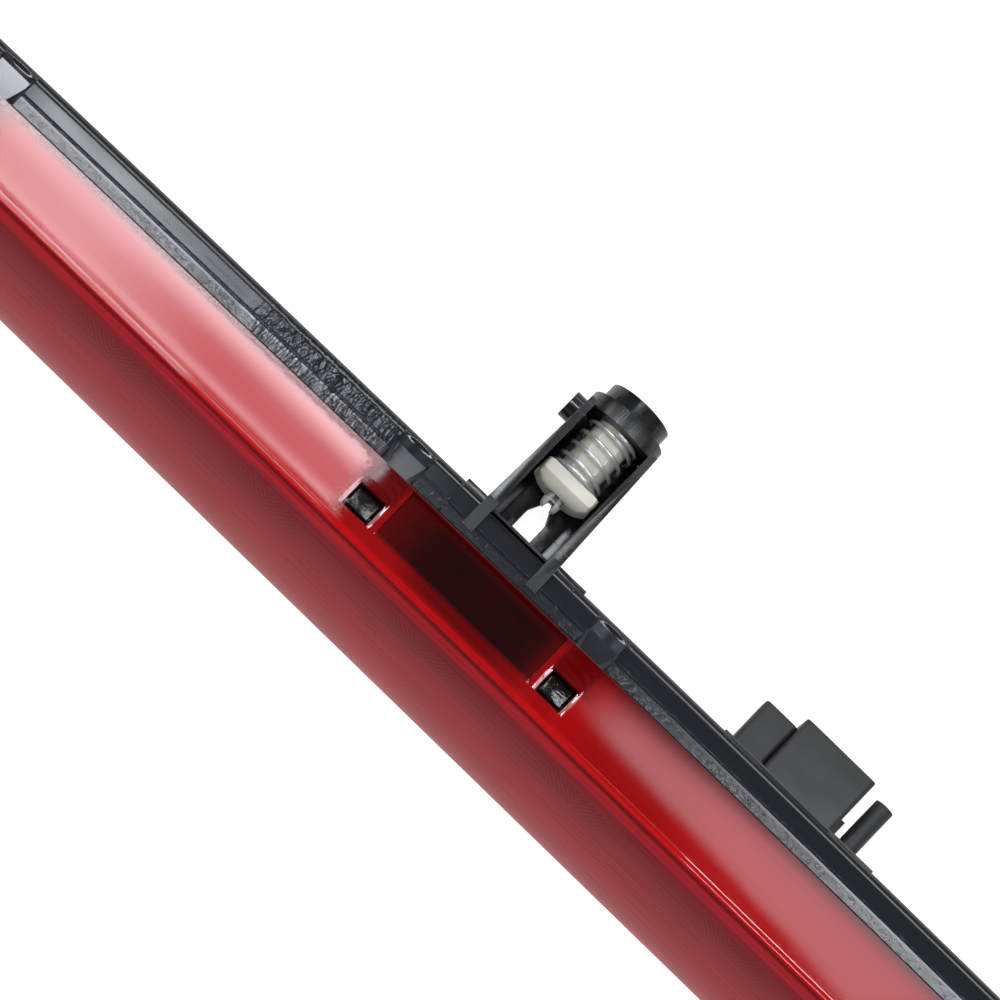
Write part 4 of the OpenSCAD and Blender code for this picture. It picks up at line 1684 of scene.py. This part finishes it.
    def grommet(self) -> bpy.types.Object:
        """The nylon grommet: a turned shank, and two barbed prongs with a slot between them.

        Returns:
            The grommet. A prong is half a turned barb, cut flat on the slot's side.
        """
        start, end = self.tip
        shank = np.array([
            [start + 3.5, 1.15], [start + 3.5, 2.3], [start + 3.9, 2.55], [end, 2.55], [end, 1.6],
            [start + 4.2, 1.6]])
        solid = Solid().lathe((self.x, self.z), shank, 40)
        t = np.linspace(0, 2 * math.pi, 40, endpoint=False)
        ys = start + np.array([0.0, 0.12, 0.5, 1.5, 1.9, 2.1, 2.9, 3.9])
        radii = np.array([1.2, 1.45, 1.75, 2.05, 2.1, 1.75, 1.7, 1.8])
        splay = np.array([0.55, 0.5, 0.4, 0.15, 0.05, 0.0, 0.0, 0.0])
        for s in (-1, 1):
            out = np.maximum(radii[:, None] * np.cos(t)[None, :], 0.6) + splay[:, None] * 0.5
            rings = np.stack([
                self.x + s * np.minimum(out, 2.38),
                np.repeat(ys[:, None], len(t), 1),
                self.z + radii[:, None] * np.sin(t)[None, :] * 0.92,
            ], -1)
            solid.tube(rings)
        obj = solid.finish(f"{self.side.word}_nylon_grommet", sharp=35)
        return place_piece(obj, self.side.body, NYLON, f"{self.side.word}_grommet")

    def build(self) -> None:
        """Makes the tower's four pieces."""
        self.tower()
        self.plunger()
        self.spring()
        self.grommet()


# ---------- Connector, board and optics ----------


def dress_nodes(finishes: dict[str, Finish]) -> None:
    """Puts finishes on nodes that keep their CAD shape.

    Args:
        finishes: Node name to finish.
    """
    for node, finish in finishes.items():
        finish.wear(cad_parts[node])
        log.info("%s: CAD shape, %s", node, finish.name)


@dataclass
class ConnectorGroup:
    """The connector: its header, and the blades, seal and membrane that keep their CAD shape."""

    bevel: float = 0.18

    def build(self) -> None:
        """Rounds the header's edges and dresses the rest."""
        header = node_copy("connector_header", "connector_body", self.bevel)
        place_piece(header, Body.LAMP, BLACK_CONNECTOR, "connector_header")
        dress_nodes({
            "connector_terminals": TINNED, "connector_seal": SEAL_RUBBER, "breather_membrane": MEMBRANE})


@dataclass
class LightEngine:
    """What lies behind the lens: board, LEDs, small parts, shield and optic, in their CAD shapes."""

    def build(self) -> None:
        """Dresses each node in its own finish."""
        dress_nodes({
            "lens_seal": SEAL_BEAD, "led_board": BOARD, "leds": LEDS, "resistors": RESISTOR,
            "capacitors": CAPACITOR, "diode": DIODE, "board_screws": ZINC,
            "light_shield": DARK_SHIELD, "inner_optic": OPTIC})


# ---------- Studio ----------


@dataclass(frozen=True)
class Ramp:
    """A soft step across a soft box's picture, taken along kx times X plus ky times Y."""

    kx: float
    ky: float
    dark: float
    lit: float


@dataclass(frozen=True)
class Glow:
    """Light added to a soft box's picture: a gain times the product of its ramps."""

    gain: float
    ramps: tuple[Ramp, ...]


@dataclass(frozen=True)
class SoftBox:
    """A level lit card that is placed so that a stretch of a surface mirrors it to the camera.

    A ray from the camera to each corner of the stretch is mirrored there and followed up to the
    card's height. The card's surface coordinates are the millimetres of the stretch, so its picture
    is drawn where it is to be seen.
    """

    name: str
    x: tuple[float, float]
    y: tuple[float, float]
    height: float
    glows: tuple[Glow, ...]
    lean: tuple[float, float] = (0.0, 0.0)
    top: float = 11.3
    spare: tuple[float, float] = (0.0, 0.0)
    matt: bool = True

    def card(self, eye: Array) -> Array:
        """Corners of the card in metres, in order round it.

        Args:
            eye: Where the camera is.

        Returns:
            Four points.
        """
        side, back = (math.sin(math.radians(a)) for a in self.lean)
        normal = np.array([side, back, math.sqrt(1 - side * side - back * back)])
        order = [(0, 0), (1, 0), (1, 1), (0, 1)]
        spots = np.array([[self.x[a] * MM, self.y[b] * MM, self.top * MM] for a, b in order])
        rays = spots - eye
        mirrored = rays - 2 * (rays @ normal)[:, None] * normal
        ends = spots + mirrored * (self.height / mirrored[:, 2])[:, None]
        outward = np.array([[2 * a - 1, 2 * b - 1, 0] for a, b in order])
        return ends + outward * (*self.spare, 0)

    def paint(self) -> bpy.types.Material:
        """The card's light: the sum of its glows, drawn on its surface coordinates.

        Returns:
            A material that only gives light.
        """
        paint = bpy.data.materials.new(self.name)
        paint.use_nodes = True
        paint.node_tree.nodes.clear()
        kit = Nodes(paint.node_tree)
        spot = kit.add("UVMap", uv_map="stretch").outputs[0]
        parts = kit.put(kit.add("SeparateXYZ"), {0: spot}).outputs
        total: object = 0.0
        for glow in self.glows:
            light: object = glow.gain
            for ramp in glow.ramps:
                along = kit.math("MULTIPLY_ADD", parts[0], ramp.kx, kit.math("MULTIPLY", parts[1], ramp.ky))
                light = kit.math("MULTIPLY", kit.ease(along, ramp.dark, ramp.lit), light)
            total = kit.math("ADD", light, total)
        shine = kit.put(kit.add("Emission"), {"Color": (0.97, 1.0, 1.065, 1), "Strength": total})
        kit.put(kit.add("OutputMaterial"), {0: shine.outputs[0]})
        return paint

    def build(self, eye: Array) -> None:
        """Makes the card, which the camera doesn't see and which casts no shadow.

        Args:
            eye: Where the camera is.
        """
        mesh = bpy.data.meshes.new(self.name)
        mesh.from_pydata(self.card(eye).tolist(), [], [(0, 1, 2, 3)])
        uv = mesh.uv_layers.new(name="stretch")
        flat = [self.x[0], self.y[0], self.x[1], self.y[0], self.x[1], self.y[1], self.x[0], self.y[1]]
        uv.data.foreach_set("uv", np.array(flat, np.float32))
        mesh.materials.append(self.paint())
        card = bpy.data.objects.new(self.name, mesh)
        card.visible_camera = False
        card.visible_shadow = False
        card.visible_diffuse = self.matt
        card.visible_transmission = False
        bpy.context.scene.collection.objects.link(card)
        card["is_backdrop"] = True


END = Ramp(1, 0, -114.2, -115.8)
FRONT = Ramp(0, 1, -24.6, -24.0)
BACK = Ramp(0, 1, -10.2, -11.0)
LEFT_ROOF = SoftBox(
    "left soft box", (-330.0, -112.0), (-26.0, -5.0), 0.35, (
        Glow(3.0, (END, FRONT, BACK)),
        Glow(11.5, (END, Ramp(0, 1, -17.8, -11.2), BACK)),
        Glow(6.0, (END, Ramp(0, 1, -21.4, -24.2), FRONT)),
        Glow(5.0, (Ramp(1, 0, -150, -196), Ramp(0, 1, -25.5, -21.0), Ramp(0, 1, -13.2, -16.5))),
        Glow(2.6, (Ramp(1, 0, -118, -150), Ramp(0, 1, -10.6, -10.0), Ramp(0, 1, -6.0, -8.0))),
    ))
RIGHT_ROOF = SoftBox(
    "right soft box", (-62.0, 170.0), (-27.0, -4.0), 0.35, (
        Glow(3.25, (Ramp(1, 0, -58.5, -42), Ramp(0.065, 1, -23.9, -20.4), Ramp(-0.0825, 1, -4.6, -13.0))),
    ))
BAND = SoftBox(
    "band soft box", (-224.0, -112.0), (-6.6, -2.8), 0.4, (
        Glow(13.0, (Ramp(1, 0, -155, -159), Ramp(1, 0, -221, -218))),
        Glow(7.0, (Ramp(1, 0, -159, -156), Ramp(1, 0, -116, -122))),
    ), lean=(0.0, 14.9), top=9.6, spare=(0.0, 0.022))
GLINTS = tuple(
    SoftBox(f"{side.word} glint box", (-200.0, 25.0), (-26.0, -12.0), 0.45,
            (Glow(22.0, ()),), lean=(side.value * 13.0, 0.0), spare=(0.0, 0.03), matt=False)
    for side in Side
)


@dataclass
class Studio:
    """Pale floor, soft light and the camera."""

    elevation: float = 77.0
    roll: float = 44.16
    aim: tuple[float, float, float] = (-0.0942, 0.003, 0.0)
    away: float = 2.5
    across: float = 0.2
    sensor: float = 36.0

    def back(self) -> Array:
        """Unit vector from the aim to the camera."""
        e = math.radians(self.elevation)
        return np.array([0.0, -math.cos(e), math.sin(e)])

    def camera(self) -> None:
        """A long lens, looking down across the lamp and rolled so that the lamp runs corner to corner."""
        back = self.back()
        level = np.array([1.0, 0.0, 0.0])
        above = np.cross(back, level)
        turn = math.radians(self.roll)
        right = math.cos(turn) * level + math.sin(turn) * above
        up = -math.sin(turn) * level + math.cos(turn) * above
        data = bpy.data.cameras.new("camera")
        data.sensor_width = self.sensor
        data.lens = self.sensor * self.away / self.across
        data.clip_end = 50
        camera = bpy.data.objects.new("camera", data)
        matrix = np.eye(4)
        matrix[:3, :3] = np.stack([right, up, back], -1)
        matrix[:3, 3] = np.array(self.aim) + back * self.away
        camera.matrix_world = Matrix(matrix.tolist())
        bpy.context.scene.collection.objects.link(camera)
        bpy.context.scene.camera = camera

    def floor(self) -> None:
        """A pale floor that the lamp lies on, bright enough to keep its shadows faint."""
        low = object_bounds()[0].z
        mesh = bpy.data.meshes.new("floor")
        size = 8.0
        edge = [(-size, -size, low), (size, -size, low), (size, size, low), (-size, size, low)]
        mesh.from_pydata(edge, [], [(0, 1, 2, 3)])
        obj = bpy.data.objects.new("floor", mesh)
        bpy.context.scene.collection.objects.link(obj)
        paint = bpy.data.materials.new("floor paint")
        paint.use_nodes = True
        kit = Nodes(paint.node_tree)
        shader = paint.node_tree.nodes["Principled BSDF"]
        kit.put(shader, {"Base Color": (0.35, 0.35, 0.35, 1), "Roughness": 0.9, "Specular IOR Level": 0.0})
        shiny = kit.add("LightPath").outputs["Is Glossy Ray"]
        glow = kit.put(kit.add("MapRange"), {"Value": shiny, "To Min": 0.9, "To Max": 0.5})
        kit.put(shader, {"Emission Color": (1, 1, 1, 1), "Emission Strength": glow.outputs[0]})
        mesh.materials.append(paint)
        obj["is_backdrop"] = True

    def area(self, name: str, place: tuple[float, float, float], size: tuple[float, float],
             radiance: float, shiny: bool = True) -> None:
        """A soft area light that faces the lamp.

        Args:
            name: Its name.
            place: Where it stands, in metres.
            size: Its width and height.
            radiance: Its brightness, where the floor's white is 1.
            shiny: Whether it makes glints only, rather than even light without glints.
        """
        data = bpy.data.lights.new(name, "AREA")
        data.shape = "RECTANGLE"
        data.size, data.size_y = size
        data.energy = radiance * math.pi * size[0] * size[1]
        light = bpy.data.objects.new(name, data)
        toward = Vector(self.aim) - Vector(place)
        light.matrix_world = Matrix.Translation(place) @ toward.to_track_quat("-Z", "X").to_matrix().to_4x4()
        light.visible_camera = False
        light.visible_glossy = shiny
        light.visible_diffuse = not shiny
        light.visible_transmission = False
        bpy.context.scene.collection.objects.link(light)

    def sky(self) -> None:
        """An even white surround. Shiny surfaces mirror it faintly, save low down in front."""
        world = bpy.data.worlds.new("surround")
        world.use_nodes = True
        tree = world.node_tree
        tree.nodes.clear()
        kit = Nodes(tree)
        toward = kit.put(kit.add("SeparateXYZ"), {0: kit.add("TexCoord").outputs["Generated"]}).outputs
        front = kit.math("MULTIPLY", kit.ease(toward[2], 0.85, 0.0), kit.ease(toward[1], -0.15, -0.5))
        mirrored = kit.math("MULTIPLY_ADD", front, 0.8, 0.06)
        shiny = kit.add("LightPath").outputs["Is Glossy Ray"]
        strength = kit.put(kit.add("MapRange"), {"Value": shiny, "To Min": 0.95, "To Max": mirrored})
        white = kit.put(kit.add("Background"), {
            "Color": (0.985, 0.992, 1.0, 1), "Strength": strength.outputs[0]})
        kit.put(kit.add("OutputWorld"), {0: white.outputs[0]})
        bpy.context.scene.world = world

    def build(self) -> None:
        """Makes the floor, the lights and the camera."""
        bpy.context.scene.view_settings.view_transform = "Standard"
        self.camera()
        self.floor()
        self.sky()
        eye = np.array(self.aim) + self.back() * self.away
        for box in (LEFT_ROOF, RIGHT_ROOF, BAND, *GLINTS):
            box.build(eye)
        self.area("left key", place=(-1.3, 0.15, 0.75), size=(0.3, 1.0), radiance=5.0)
        self.area("right key", place=(1.1, 0.1, 0.7), size=(0.25, 0.8), radiance=3.0)
        self.area("back strip", place=(-0.1, 0.9, 0.42), size=(0.16, 0.9), radiance=5.0)
        self.area("overhead", place=(-0.25, 0.1, 1.1), size=(0.9, 0.9), radiance=0.9, shiny=False)
        log.info("studio: camera at %.0f degrees, five lit cards and four lights", self.elevation)


def corners(bounds: tuple) -> list[list[float]]:
    """The two corners of a box as plain lists of numbers."""
    return [[float(v) for v in corner] for corner in bounds]


def main() -> None:
    """Builds every sub-assembly round the frame."""
    logging.basicConfig(level=logging.INFO, format="%(name)s: %(message)s")
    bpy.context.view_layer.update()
    plan = LampPlan()
    LensShell(plan).build()
    HousingTray(plan).build()
    for side in Side:
        SpringTower(side).build()
    ConnectorGroup().build()
    LightEngine().build()
    Studio().build()


if __name__ == "__main__":
    main()
